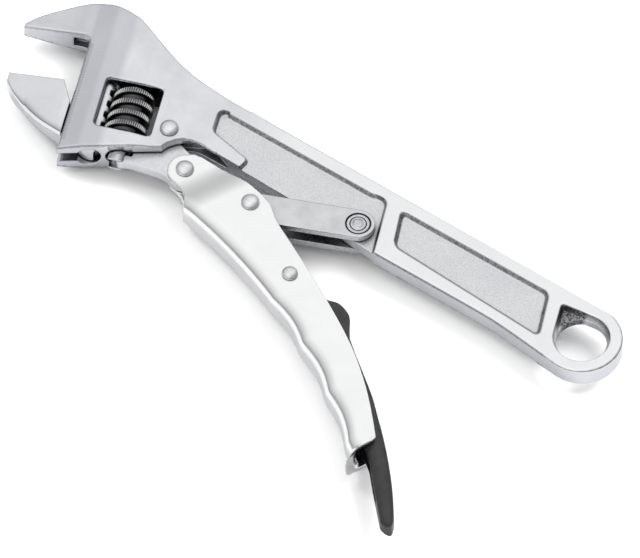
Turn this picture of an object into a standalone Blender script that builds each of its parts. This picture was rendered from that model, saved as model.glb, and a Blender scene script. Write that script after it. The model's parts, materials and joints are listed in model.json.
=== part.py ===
# Locking adjustable wrench: an adjustable wrench whose worm and jaw are clamped by a toggle lever.
# Metres, +X along the handle, +Z out of the flat side, origin in the middle of the fixed jaw face.
# Places are given in three flat frames. The jaw frame runs across the jaws (p, from the front wall
# of the head towards the handle) and down the slide (s, from the fixed face). The handle frame is
# the world's x and y. The lever frame has its origin on the lever pivot and x along the lever.

import math

import bmesh
import bpy
from mathutils import Matrix, Vector, geometry

# Clearances and small working values
FIT = 0.0003
RUN_FIT = 0.0004
OVERRUN = 0.004

# Jaws and slide
JAW_ANGLE = math.radians(20.5)
JAW_REACH = 0.0250
JAW_OPENING = 0.0205
FACE_MID = 0.0140
FACE_ROOT_RADIUS = 0.0030
FIXED_JAW_HEIGHT = 0.0149
MOVING_JAW_HEIGHT = 0.0228
TIP_THICKNESS = 0.0064
ROOT_THICKNESS = 0.0118
HEAD_THICKNESS = 0.0140
NECK_THICKNESS = 0.0114
HEAD_LENGTH = 0.0511
HEAD_BOTTOM_SHARE = 0.7965

# Keyhole channel and rack bar
BORE_RADIUS = 0.0044
BORE_ACROSS = 0.0109
BORE_TOP = 0.0036
SLOT_WIDTH = 0.0049
SLOT_REACH = 0.0064
SLOT_TOP = 0.0028
BAR_TOP = 0.0172
BAR_LENGTH = 0.0292

# Worm, axle and spring
WORM_PITCH = 0.00477
WORM_RADIUS = 0.0077
THREAD_DEPTH = 0.0020
THREAD_CREST_WIDTH = 0.0014
THREAD_FLANK = 0.0007
WORM_PLAY = 0.0011
CLAMP_TRAVEL = 0.0019
WINDOW_WIDTH = 0.0207
WINDOW_LENGTH_SHARE = 0.411
WINDOW_TOP_SHARE = 0.3288
WINDOW_RADIUS = 0.0016
AXLE_RADIUS = 0.00295
AXLE_TIP_RADIUS = 0.0020
AXLE_TIP_LENGTH = 0.0068
AXLE_SET_IN = 0.0063
RECESS_RADIUS = 0.00415
RECESS_DEPTH = 0.0028
SPRING_WIRE = 0.0008
SPRING_RADIUS = 0.0033
SPRING_TURNS = 3
SPRING_PITCH = 0.00125

# Rocker, from its pivot in the head to the lever pivot and the nose under the axle
PIVOT_ACROSS = 0.0369
PIVOT_DOWN_SHARE = 0.638
ROCKER_THICKNESS = 0.0040
ROCKER_BOSS_RADIUS = 0.0042
ROCKER_END_RADIUS = 0.0058
ROCKER_ARM_ALONG = 0.0140
ROCKER_ARM_DOWN = 0.0105
ROCKER_TILT = math.radians(7.1)
NOSE_RADIUS = 0.0020
NOSE_NECK = 0.0048
NOSE_RELIEF = 0.0024
ROCKER_CLEARANCE = 0.0004
RUN_OUT_REACH = 0.0099
RUN_OUT_RISE = 0.0057
RUN_OUT_END_RISE = 0.0029
LEVER_CLEAR_RADIUS = 0.0122

# Handle
HANDLE_WIDTH = 0.0262
HANDLE_THICKNESS = 0.0080
HANDLE_RISE = 0.0107
WEB_THICKNESS = 0.0044
HOLE_DISTANCE = 0.1711
HOLE_RADIUS = 0.0090
EYE_RADIUS = 0.0147
EYE_DROP = 0.0019
EYE_WEB_THICKNESS = 0.0026
PANEL_START = 0.0100
POCKET_MARGIN = 0.0007
RECESS_DRAFT = 0.0008
EDGE_ROUND = 0.0010

# Lever, a sheet steel channel
LEVER_ANGLE = math.radians(-26.0)
LEVER_LENGTH = 0.1470
LEVER_WIDTH = 0.0150
SHEET = 0.0018
EAR_RADIUS = 0.0063
EAR_GAP = 0.0046
BEND_RADIUS = 0.0050
SPINE_DEPTH = 0.0016
SPINE_ARCH_RADIUS = 0.225
LEVER_INNER_HEIGHT = 0.0172
FINGER_PITCH = 0.0225
FINGER_DEPTH = 0.0011
FINGER_COUNT = 4
LINK_PIVOT_ALONG = 0.0262
LINK_PIVOT_RISE = 0.0119
RELEASE_PIVOT_ALONG = 0.0601
RELEASE_PIVOT_LIFT = 0.0108

# Links and their anchor in the handle web
ANCHOR_ALONG = 0.0786
ANCHOR_RISE = 0.0041
LINK_RADIUS = 0.0060
LINK_THICKNESS = 0.0028
LINK_PIVOT_PLAY = 0.00035
ANCHOR_RADIUS = 0.0028
ANCHOR_RECESS_RADIUS = 0.0046
ANCHOR_RECESS_DEPTH = 0.0011
ANCHOR_CROWN_RADIUS = 0.0021
WASHER_RADIUS = 0.0041
WASHER_THICKNESS = 0.0006
SPACER_WALL = 0.0012

# Rivets
RIVET_RADIUS = 0.0022
RIVET_HEAD_RADIUS = 0.0033
RIVET_HEAD_HEIGHT = 0.0019
SMALL_RIVET_RADIUS = 0.0019
SMALL_HEAD_RADIUS = 0.0029

# Release lever, a pressed channel inside the lever
RELEASE_WIDTH = 0.0096
RELEASE_SHEET = 0.0014
RELEASE_LENGTH = 0.1325
RELEASE_TAIL_DEPTH = 0.0062
RELEASE_ROUND = 0.0018
COIL_WIRE = 0.0009
COIL_RADIUS = 0.0034
COIL_TURNS = 4
COIL_PITCH = 0.00135
COIL_LEG = 0.0090

# Facets
ARC_STEP = math.radians(15.0)
STEP_TOLERANCE = 0.01
ROUND_SIDES = 28
COIL_POINTS = 9
MILLIMETRES = 1000

PARTS = bpy.data.collections.new("locking_adjustable_wrench")
CUTTERS = bpy.data.collections.new("cutters")


def clear_scene():
    for leftover in list(bpy.data.objects):
        bpy.data.objects.remove(leftover, do_unlink=True)
    bpy.context.scene.collection.children.link(PARTS)
    bpy.context.scene.collection.children.link(CUTTERS)


def material(name, colour, metallic, roughness):
    made = bpy.data.materials.new(name)
    made.use_nodes = True
    shader = made.node_tree.nodes["Principled BSDF"]
    shader.inputs["Base Color"].default_value = (*colour, 1.0)
    shader.inputs["Metallic"].default_value = metallic
    shader.inputs["Roughness"].default_value = roughness
    return made


def finish(piece, colour, metallic=1.0, roughness=0.3):
    piece.data.materials.clear()
    piece.data.materials.append(material(piece.name + "_finish", colour, metallic, roughness))
    return piece


# Points in the three frames

JAW_ACROSS = Vector((math.cos(JAW_ANGLE), math.sin(JAW_ANGLE)))
JAW_DOWN = Vector((math.sin(JAW_ANGLE), -math.cos(JAW_ANGLE)))


def jaw(p, s):
    return JAW_ACROSS * (p + FACE_MID) + JAW_DOWN * s


def turn(vector, angle):
    return Matrix.Rotation(angle, 2) @ vector


WINDOW_TOP = HEAD_LENGTH * WINDOW_TOP_SHARE
WINDOW_LENGTH = HEAD_LENGTH * WINDOW_LENGTH_SHARE
WORM_LENGTH = WINDOW_LENGTH - CLAMP_TRAVEL - WORM_PLAY
AXLE_TOP = WINDOW_TOP - AXLE_TIP_LENGTH
AXLE_END = HEAD_LENGTH - AXLE_SET_IN
PIVOT_DOWN = HEAD_LENGTH * PIVOT_DOWN_SHARE
PIVOT = jaw(PIVOT_ACROSS, PIVOT_DOWN)
LEVER_PIVOT = PIVOT + Vector((ROCKER_ARM_ALONG, -ROCKER_ARM_DOWN))
ANCHOR = PIVOT + Vector((ANCHOR_ALONG, ANCHOR_RISE))


def on_lever(along, rise):
    return LEVER_PIVOT + turn(Vector((along, rise)), LEVER_ANGLE)


def spine_line(along):
    """Where the lever's spine lies over the lever pivot line, without the finger hollows."""
    return -SPINE_DEPTH - (along - LEVER_LENGTH / 2) ** 2 / (2 * SPINE_ARCH_RADIUS)


LINK_PIVOT = on_lever(LINK_PIVOT_ALONG, LINK_PIVOT_RISE)
RELEASE_PIVOT = on_lever(RELEASE_PIVOT_ALONG, spine_line(RELEASE_PIVOT_ALONG) + RELEASE_PIVOT_LIFT)
HANDLE_MID = PIVOT.y + HANDLE_RISE
HANDLE_TOP = HANDLE_MID + HANDLE_WIDTH / 2
HANDLE_BOTTOM = HANDLE_MID - HANDLE_WIDTH / 2
HOLE = Vector((PIVOT.x + HOLE_DISTANCE, HANDLE_MID - EYE_DROP))
BAR_RADIUS = BORE_RADIUS - FIT
WORM_ROOT_RADIUS = WORM_RADIUS - THREAD_DEPTH
WORM_ACROSS = BORE_ACROSS + BAR_RADIUS + RUN_FIT + WORM_ROOT_RADIUS - FIT / 3
WORM_END = WINDOW_TOP + WINDOW_LENGTH - RUN_FIT * 2
WORM_START = WORM_END - WORM_LENGTH


# Outlines

def arc(centre, radius, start, end):
    steps = max(2, math.ceil(abs(end - start) / ARC_STEP - STEP_TOLERANCE))
    angles = [start + (end - start) * i / steps for i in range(steps + 1)]
    return [Vector((centre.x + radius * math.cos(a), centre.y + radius * math.sin(a))) for a in angles]


def ring(centre, radius):
    return arc(centre, radius, 0, 2 * math.pi)[:-1]


def rounded(corners):
    """A closed outline whose corners, (point, radius), become arcs no longer than their sides."""
    outline = []
    for index, (point, radius) in enumerate(corners):
        before = corners[index - 1][0] - point
        after = corners[(index + 1) % len(corners)][0] - point
        half = before.angle(after) / 2
        reach = radius / math.tan(half) if radius else 0
        room = min(before.length, after.length) / 2
        if reach > room * (1 - STEP_TOLERANCE / 10):
            radius *= room / reach
            reach = room
        if radius == 0 or math.pi / 2 - half < ARC_STEP / 8:
            outline.append(point)
            continue
        middle = point + (before.normalized() + after.normalized()).normalized() * radius / math.sin(half)
        first = point + before.normalized() * reach - middle
        last = point + after.normalized() * reach - middle
        start = math.atan2(first.y, first.x)
        sweep = math.atan2(first.x * last.y - first.y * last.x, first.dot(last))
        outline += arc(middle, radius, start, start + sweep)
    return [point for index, point in enumerate(outline) if (point - outline[index - 1]).length > FIT / 30]


def smooth(points, steps):
    """An open curve through the points, with the given steps from each to the next."""
    curve = []
    ends = [points[0] * 2 - points[1]] + list(points) + [points[-1] * 2 - points[-2]]
    for a, b, c, d in zip(ends, ends[1:], ends[2:], ends[3:]):
        for step in range(steps):
            t = step / steps
            curve.append((b * 2 + (c - a) * t + (a * 2 - b * 5 + c * 4 - d) * t ** 2
                          + (b * 3 - a - c * 3 + d) * t ** 3) / 2)
    return curve + [points[-1]]


def offset(outline, distance):
    """The outline moved sideways by distance, outwards where it runs anticlockwise."""
    moved = []
    for index, point in enumerate(outline):
        before = (point - outline[index - 1]).normalized()
        after = (outline[(index + 1) % len(outline)] - point).normalized()
        side = Vector((before.y + after.y, -before.x - after.x)).normalized()
        stretch = max(side.dot(Vector((after.y, -after.x))), 1 / 3)
        moved.append(point + side * distance / stretch)
    return moved


def union_outline(outlines):
    """The outer edge round outlines that overlap, without points that lie close together."""
    points = [point for outline in outlines for point in outline]
    starts = [sum(len(outline) for outline in outlines[:index]) for index in range(len(outlines))]
    rings = [[start + i for i in range(len(outline))] for start, outline in zip(starts, outlines)]
    places, _, triangles, _, _, _ = geometry.delaunay_2d_cdt(points, [], rings, 1, FIT / 30)
    sides = {(a, b) for tri in triangles for a, b in zip(tri, list(tri[1:]) + [tri[0]])}
    following = {a: b for a, b in sides if (b, a) not in sides}
    corner = min(following, key=lambda i: places[i].x)
    walk = [corner]
    while following[walk[-1]] != corner:
        walk.append(following[walk[-1]])
    outline = [places[walk[0]]]
    for index in walk[1:]:
        if (places[index] - outline[-1]).length > FIT * 2:
            outline.append(places[index])
    return outline


def anticlockwise(outline):
    area = sum(a.x * b.y - b.x * a.y for a, b in zip(outline, outline[1:] + outline[:1]))
    return outline if area > 0 else outline[::-1]


# Solids

def place(name, mesh, cutter):
    made = bpy.data.objects.new(name, mesh)
    (CUTTERS if cutter else PARTS).objects.link(made)
    if cutter:
        made.hide_render = True
        made.display_type = "WIRE"
    return made


def from_bmesh(name, work, cutter):
    mesh = bpy.data.meshes.new(name)
    bmesh.ops.recalc_face_normals(work, faces=work.faces)
    work.to_mesh(mesh)
    work.free()
    return place(name, mesh, cutter)


def weld(mesh):
    work = bmesh.new()
    work.from_mesh(mesh)
    bmesh.ops.remove_doubles(work, verts=work.verts, dist=FIT / 100)
    bmesh.ops.recalc_face_normals(work, faces=work.faces)
    work.to_mesh(mesh)
    work.free()


def curve_to_mesh(name, curve, cutter):
    drawn = bpy.data.objects.new(name + "_curve", curve)
    PARTS.objects.link(drawn)
    seen = drawn.evaluated_get(bpy.context.evaluated_depsgraph_get())
    mesh = bpy.data.meshes.new_from_object(seen)
    bpy.data.objects.remove(drawn, do_unlink=True)
    mesh.materials.clear()
    weld(mesh)
    return place(name, mesh, cutter)


def plate(name, outlines, low, high, cutter=False):
    """A flat piece between two heights: the first outline, less the ones inside it."""
    curve = bpy.data.curves.new(name, "CURVE")
    curve.dimensions = "2D"
    curve.fill_mode = "BOTH"
    curve.extrude = (high - low) / 2
    for outline in outlines:
        spline = curve.splines.new("POLY")
        spline.points.add(len(outline) - 1)
        spline.use_cyclic_u = True
        for knot, point in zip(spline.points, outline):
            knot.co = (point.x, point.y, 0, 1)
    made = curve_to_mesh(name, curve, cutter)
    made.data.transform(Matrix.Translation((0, 0, (low + high) / 2)))
    return made


def drafted(name, outline, widening, low, high):
    """A cutter between two heights whose walls lean outwards towards the high side."""
    outline = anticlockwise(outline)
    wide = offset(outline, widening)
    work = bmesh.new()
    lower = [work.verts.new((point.x, point.y, low)) for point in outline]
    upper = [work.verts.new((point.x, point.y, high)) for point in wide]
    work.faces.new(lower[::-1])
    work.faces.new(upper)
    for index in range(len(lower)):
        work.faces.new((lower[index - 1], lower[index], upper[index], upper[index - 1]))
    return from_bmesh(name, work, True)


def along_axis(start, direction):
    """The matrix that lays a solid's z axis on a direction in the plane, from a start point."""
    axis = Vector((direction.x, direction.y, 0)).normalized()
    side = Vector((0, 0, 1))
    matrix = Matrix((side.cross(axis), side, axis)).transposed().to_4x4()
    matrix.translation = Vector((start.x, start.y, 0))
    return matrix


def upright(centre, low=0.0):
    return Matrix.Translation((centre.x, centre.y, low))


def drum(name, matrix, radius, length, cutter=True, sides=ROUND_SIDES):
    work = bmesh.new()
    bmesh.ops.create_cone(work, cap_ends=True, segments=sides, radius1=radius, radius2=radius, depth=length)
    bmesh.ops.translate(work, verts=work.verts, vec=(0, 0, length / 2))
    bmesh.ops.transform(work, verts=work.verts, matrix=matrix)
    return from_bmesh(name, work, cutter)


def turned(name, matrix, profile, cutter=False, sides=ROUND_SIDES):
    """A turned solid: profile points (radius, height) run down its outer side."""
    mesh = bpy.data.meshes.new(name)
    mesh.from_pydata([(r, 0, z) for r, z in profile], [(i, i + 1) for i in range(len(profile) - 1)], [])
    made = place(name, mesh, cutter)
    screw = made.modifiers.new("turn", "SCREW")
    screw.steps = sides
    screw.render_steps = sides
    screw.use_merge_vertices = True
    screw.merge_threshold = FIT / 30
    screw.use_normal_calculate = True
    seen = made.evaluated_get(bpy.context.evaluated_depsgraph_get())
    solid = bpy.data.meshes.new_from_object(seen)
    made.modifiers.clear()
    made.data = solid
    solid.transform(matrix)
    weld(solid)
    return made


def combine(target, tool, operation="DIFFERENCE"):
    boolean = target.modifiers.new(tool.name, "BOOLEAN")
    boolean.operation = operation
    boolean.solver = "EXACT"
    boolean.object = tool
    return target


def cut(target, *tools):
    for tool in tools:
        combine(target, tool)
    return target


def bevel(target, width, segments=2, angle=math.radians(40)):
    rounding = target.modifiers.new("rounded edges", "BEVEL")
    rounding.width = width
    rounding.segments = segments
    rounding.limit_method = "ANGLE"
    rounding.angle_limit = angle
    rounding.use_clamp_overlap = True
    return target


def applied(piece):
    """The piece with its modifiers worked into its mesh."""
    seen = piece.evaluated_get(bpy.context.evaluated_depsgraph_get())
    mesh = bpy.data.meshes.new_from_object(seen)
    piece.modifiers.clear()
    piece.data = mesh
    return piece


def shade(piece, angle=math.radians(30)):
    piece.data.shade_smooth()
    piece.data.set_sharp_from_angle(angle=angle)
    return piece


# Thickness of the head along the jaw frame, from the jaw tip to the handle

THICKNESS_STATIONS = (
    (-JAW_REACH - OVERRUN, TIP_THICKNESS),
    (-JAW_REACH, TIP_THICKNESS),
    (-FACE_ROOT_RADIUS, ROOT_THICKNESS - FIT),
    (0.0, ROOT_THICKNESS),
    (BORE_ACROSS * 2 / 3, HEAD_THICKNESS),
    (WORM_ACROSS + WORM_RADIUS, HEAD_THICKNESS),
    (PIVOT_ACROSS - ROCKER_BOSS_RADIUS, NECK_THICKNESS),
    (PIVOT_ACROSS + ROCKER_BOSS_RADIUS, NECK_THICKNESS),
    (PIVOT_ACROSS + ROCKER_ARM_ALONG + OVERRUN, HANDLE_THICKNESS),
    (PIVOT_ACROSS + HOLE_DISTANCE + EYE_RADIUS * 3, HANDLE_THICKNESS),
)


def thickness_block(name, stations):
    """A block as thick as the stations say, wide enough to hold the whole wrench."""
    upper = [Vector((p, thick / 2)) for p, thick in stations]
    lower = [Vector((p, -thick / 2)) for p, thick in stations]
    reach = HOLE_DISTANCE
    block = plate(name, [upper + lower[::-1]], -reach, reach, cutter=True)
    start = jaw(0, 0)
    across = Vector((JAW_ACROSS.x, JAW_ACROSS.y, 0))
    down = Vector((JAW_DOWN.x, JAW_DOWN.y, 0))
    matrix = Matrix((across, Vector((0, 0, 1)), down)).transposed().to_4x4()
    matrix.translation = Vector((start.x, start.y, 0))
    block.data.transform(matrix)
    weld(block.data)
    return block


# Body

HEAD_BACK_SHARES = ((0.99, 0.12), (0.79, 0.40), (0.52, 0.65), (0.32, 0.82), (0.11, 0.96), (-0.08, 1.0),
                    (-0.25, 0.99))
NECK_SHARES = ((0.22, 1.01), (0.44, 0.62), (0.66, 0.29), (0.86, 0.06), (1.0, 0.0))


def head_back():
    """The outer side of the fixed jaw and the neck, from the jaw tip to the straight handle."""
    points = [jaw(-JAW_REACH * a, -FIXED_JAW_HEIGHT * b) for a, b in HEAD_BACK_SHARES]
    peak = points[-1]
    run = PIVOT.x - peak.x
    rise = peak.y - HANDLE_TOP
    points += [Vector((peak.x + run * a, HANDLE_TOP + rise * b)) for a, b in NECK_SHARES]
    return smooth(points, 2)


def eye_arc():
    centre = HOLE
    top = math.asin(min(1, (HANDLE_TOP - EDGE_ROUND - centre.y) / EYE_RADIUS))
    bottom = -math.pi / 2 - math.radians(24)
    return arc(centre, EYE_RADIUS, top, bottom)


def head_bottom():
    """The lower side: the web edge, the hollow round the lever ears and the head's lower face."""
    web_end = Vector((ANCHOR.x + LINK_RADIUS * 2, HANDLE_BOTTOM))
    web_mid = Vector(((ANCHOR.x + LEVER_PIVOT.x) / 2 + LINK_RADIUS, HANDLE_BOTTOM + HANDLE_WIDTH / 8))
    hollow = arc(LEVER_PIVOT, LEVER_CLEAR_RADIUS, math.radians(82), math.radians(168))
    web_start = hollow[0] + Vector((LEVER_CLEAR_RADIUS, 0))
    lower_face = [jaw(PIVOT_ACROSS, HEAD_LENGTH * HEAD_BOTTOM_SHARE), jaw(-OVERRUN / 3, HEAD_LENGTH)]
    return [web_end, web_mid, web_start] + hollow + lower_face


def body_outline():
    outline = [jaw(-JAW_REACH, OVERRUN / 3)] + head_back() + eye_arc()
    outline += [Vector((HOLE.x - EYE_RADIUS * 1.4, HANDLE_BOTTOM))] + head_bottom()
    return outline + [jaw(-OVERRUN / 3, OVERRUN / 3)]


def jaw_gap_cutter():
    far = JAW_REACH + OVERRUN * 2
    deep = HEAD_LENGTH + OVERRUN * 2
    corners = [(jaw(-far, 0), 0), (jaw(0, 0), FACE_ROOT_RADIUS), (jaw(0, deep), 0), (jaw(-far, deep), 0)]
    return plate("cut_jaw_gap", [rounded(corners)], -HEAD_THICKNESS, HEAD_THICKNESS, cutter=True)


def channel_cutters():
    """The keyhole channel: a round bore and the slot that opens it to the front wall."""
    length = HEAD_LENGTH + OVERRUN + BORE_TOP
    bore = drum("cut_bore", along_axis(jaw(BORE_ACROSS, -BORE_TOP), JAW_DOWN), BORE_RADIUS, length)
    corners = [jaw(-SLOT_REACH, -SLOT_TOP), jaw(BORE_ACROSS, -SLOT_TOP)]
    corners += [jaw(BORE_ACROSS, HEAD_LENGTH + OVERRUN), jaw(-SLOT_REACH, HEAD_LENGTH + OVERRUN)]
    slot = plate("cut_slot", [corners], -SLOT_WIDTH / 2, SLOT_WIDTH / 2, cutter=True)
    return bore, slot


def window_cutter():
    left = WORM_ACROSS - WORM_RADIUS - FIT * 10
    right = left + WINDOW_WIDTH
    low = WINDOW_TOP + WINDOW_LENGTH
    corners = [jaw(left, WINDOW_TOP), jaw(right, WINDOW_TOP), jaw(right, low), jaw(left, low)]
    outline = rounded([(corner, WINDOW_RADIUS) for corner in corners])
    return plate("cut_window", [outline], -HEAD_THICKNESS, HEAD_THICKNESS, cutter=True)


def axle_cutters():
    top = drum("cut_axle_top", along_axis(jaw(WORM_ACROSS, AXLE_TOP - CLAMP_TRAVEL - FIT * 2), JAW_DOWN),
               AXLE_TIP_RADIUS + FIT, WINDOW_TOP - AXLE_TOP + OVERRUN)
    barrel = drum("cut_axle_barrel", along_axis(jaw(WORM_ACROSS, WORM_END - OVERRUN / 2), JAW_DOWN),
                  AXLE_RADIUS + FIT, HEAD_LENGTH - WORM_END)
    recess = drum("cut_axle_recess", along_axis(jaw(WORM_ACROSS, AXLE_END - RECESS_DEPTH), JAW_DOWN),
                  RECESS_RADIUS, HEAD_LENGTH - AXLE_END + OVERRUN)
    return top, barrel, recess


# Rocker outline, in the jaw frame from its pivot, the lever pivot and the axle end

def rocker_outline():
    boss = ROCKER_BOSS_RADIUS
    end = ROCKER_END_RADIUS
    arm = LEVER_PIVOT - PIVOT
    end_across = PIVOT_ACROSS + arm.dot(JAW_ACROSS)
    end_down = PIVOT_DOWN + arm.dot(JAW_DOWN)
    nose_top = AXLE_END + FIT
    nose_left = WORM_ACROSS
    neck_left = WORM_ACROSS + AXLE_RADIUS + NOSE_RELIEF
    waist = PIVOT_ACROSS - boss * 2 / 3
    corners = [
        (PIVOT_ACROSS - boss, PIVOT_DOWN - boss, boss),
        (PIVOT_ACROSS - boss, PIVOT_DOWN + boss / 2, boss),
        (waist, PIVOT_DOWN + boss * 1.4, boss),
        (waist - boss / 2, nose_top - NOSE_RADIUS * 2, boss),
        (neck_left, nose_top - NOSE_RADIUS, NOSE_RADIUS / 3),
        (neck_left, nose_top, NOSE_RADIUS / 5),
        (nose_left, nose_top, NOSE_RADIUS),
        (nose_left, nose_top + NOSE_RADIUS * 2, NOSE_RADIUS),
        (nose_left + NOSE_NECK, nose_top + NOSE_RADIUS * 1.5, boss),
        (PIVOT_ACROSS + boss / 3, end_down + end * 0.4, boss * 2),
        (end_across - end * 0.4, end_down + end, end),
        (end_across + end, end_down + end, end),
        (end_across + end, end_down - end * 0.6, end),
        (PIVOT_ACROSS + boss, PIVOT_DOWN + boss * 0.6, boss),
        (PIVOT_ACROSS + boss, PIVOT_DOWN - boss, boss),
    ]
    return rounded([(jaw(p, s), radius) for p, s, radius in corners])


def about_pivot(outline, angle):
    return [PIVOT + turn(point - PIVOT, angle) for point in outline]


def rocker_slot_cutter():
    """The milled slot: the space that the rocker sweeps, and the run-out of the cutter."""
    half = ROCKER_THICKNESS / 2 + FIT
    swept = offset(anticlockwise(rocker_outline()), ROCKER_CLEARANCE)
    outlines = [about_pivot(swept, -ROCKER_TILT * step / 2) for step in range(3)]
    reach = LEVER_PIVOT.x + RUN_OUT_REACH
    outlines.append([
        PIVOT + Vector((0, -ROCKER_BOSS_RADIUS)),
        LEVER_PIVOT,
        Vector((reach, LEVER_PIVOT.y)),
        Vector((reach, PIVOT.y + RUN_OUT_END_RISE)),
        Vector((LEVER_PIVOT.x + ROCKER_BOSS_RADIUS / 2, PIVOT.y + RUN_OUT_RISE)),
        Vector((LEVER_PIVOT.x, PIVOT.y + RUN_OUT_RISE)),
        PIVOT + Vector((ROCKER_BOSS_RADIUS, 0)),
    ])
    return plate("cut_rocker_slot", [union_outline(outlines)], -half, half, cutter=True)


# Recesses of the handle, in shares of the panel widths

def panel_one():
    """The long panel, open at its lower side where the links lie against the web."""
    top = HANDLE_TOP - HANDLE_WIDTH / 5
    left = PIVOT.x + PANEL_START
    slant = HANDLE_WIDTH / 8
    right = ANCHOR.x + LINK_RADIUS / 3
    tongue_top = HANDLE_MID - HANDLE_WIDTH / 20
    tongue_end = LEVER_PIVOT.x + EAR_RADIUS * 2.6
    low = HANDLE_BOTTOM - OVERRUN
    corners = [
        (Vector((left, top)), LINK_RADIUS / 3),
        (Vector((left + slant, tongue_top)), LINK_RADIUS / 3),
        (Vector((tongue_end, tongue_top - HANDLE_WIDTH / 8)), LINK_RADIUS / 3),
        (Vector((tongue_end - EDGE_ROUND, low)), 0),
        (Vector((ANCHOR.x + LINK_RADIUS * 2, low)), 0),
        (Vector((right, top)), LINK_RADIUS / 2),
    ]
    return rounded(corners)


def panel_two():
    top = HANDLE_TOP - HANDLE_WIDTH / 5
    left = ANCHOR.x + LINK_RADIUS * 1.5
    right = HOLE.x - EYE_RADIUS - HOLE_RADIUS / 2
    low = HANDLE_BOTTOM + HANDLE_WIDTH / 5
    slant = HANDLE_WIDTH / 4
    corners = [
        (Vector((left, top)), LINK_RADIUS / 3),
        (Vector((left + slant, low)), LINK_RADIUS / 2),
        (Vector((right + slant * 1.8, low - HANDLE_WIDTH / 14)), LINK_RADIUS / 3),
        (Vector((right, top)), LINK_RADIUS / 3),
    ]
    return rounded(corners)


def pocket():
    """The teardrop recess round the hanging hole."""
    radius = HOLE_RADIUS + POCKET_MARGIN
    start = math.radians(52)
    points = arc(HOLE, radius, start, math.radians(-165))
    corner = Vector((HOLE.x - radius * 1.35, HANDLE_TOP - HANDLE_WIDTH / 5))
    return rounded([(point, 0) for point in points] + [(corner, radius / 4)])


def recess_cutters():
    tools = []
    recesses = (
        ("panel_one", panel_one(), WEB_THICKNESS),
        ("panel_two", panel_two(), WEB_THICKNESS),
        ("pocket", pocket(), EYE_WEB_THICKNESS),
    )
    for name, outline, web in recesses:
        depth = (HANDLE_THICKNESS - web) / 2
        high = HANDLE_THICKNESS / 2 + depth
        front = drafted("cut_%s_front" % name, outline, RECESS_DRAFT * 2, web / 2, high)
        back = drafted("cut_%s_back" % name, outline, RECESS_DRAFT * 2, web / 2, high)
        back.data.transform(Matrix.Scale(-1, 4, (0, 0, 1)))
        back.data.flip_normals()
        tools += [front, back]
    return tools


def wrench_body():
    tall = HEAD_THICKNESS
    body = plate("wrench_body", [body_outline()], -tall, tall)
    combine(body, thickness_block("form_thickness", THICKNESS_STATIONS), "INTERSECT")
    bevel(body, EDGE_ROUND)
    cut(body, jaw_gap_cutter(), *channel_cutters(), window_cutter(), *axle_cutters())
    cut(body, rocker_slot_cutter(), *recess_cutters())
    cut(body, drum("cut_hole", upright(HOLE, -tall), HOLE_RADIUS, tall * 2, sides=ROUND_SIDES + 8))
    cut(body, drum("cut_pivot", upright(PIVOT, -tall), RIVET_RADIUS + FIT, tall * 2))
    cut(body, drum("cut_anchor", upright(ANCHOR, -tall), ANCHOR_RADIUS + FIT, tall * 2))
    return finish(shade(applied(body)), (0.72, 0.73, 0.75), 1.0, 0.22)


# Movable jaw

MOVING_BACK_SHARES = ((1.0, 0.0), (1.0, 0.17), (0.86, 0.38), (0.60, 0.64), (0.34, 0.83), (0.012, 1.0))
MOVING_INNER_SHARES = ((0.012, 0.40), (0.1316, 0.13), (0.188, 0.0))


def moving_jaw_outline():
    back = [jaw(-JAW_REACH * a, JAW_OPENING + MOVING_JAW_HEIGHT * b) for a, b in MOVING_BACK_SHARES]
    curve = smooth(back[1:], 3)
    inner = [jaw(-JAW_REACH * a, JAW_OPENING + MOVING_JAW_HEIGHT * b) for a, b in MOVING_INNER_SHARES]
    return [back[0]] + curve + inner


def groove_cutter(index):
    """One groove of the rack, leaning with the worm's thread."""
    lead = math.atan(WORM_PITCH / (2 * math.pi * WORM_RADIUS))
    mid = worm_thread_middle(index)
    root = BORE_ACROSS + BAR_RADIUS - THREAD_DEPTH - FIT * 2
    tip = BORE_ACROSS + BAR_RADIUS + OVERRUN
    narrow = THREAD_CREST_WIDTH / 2 + RUN_FIT
    wide = narrow + THREAD_FLANK * (tip - root) / THREAD_DEPTH
    points = [Vector((root, narrow)), Vector((root, -narrow)), Vector((tip, -wide)), Vector((tip, wide))]
    tool = plate("cut_groove_%02d" % index, [points], -BORE_RADIUS * 2, BORE_RADIUS * 2, cutter=True)
    tool.data.transform(Matrix.Rotation(-lead, 4, "X"))
    start = jaw(0, mid)
    across = Vector((JAW_ACROSS.x, JAW_ACROSS.y, 0))
    down = Vector((JAW_DOWN.x, JAW_DOWN.y, 0))
    matrix = Matrix((across, down, Vector((0, 0, -1)))).transposed().to_4x4()
    matrix.translation = Vector((start.x, start.y, 0))
    tool.data.transform(matrix)
    weld(tool.data)
    return tool


def worm_thread_middle(index):
    """Where the worm's thread crosses the rack's line, counted from the worm's first turn."""
    return WORM_START + WORM_PITCH * (index + 0.5)


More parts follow.
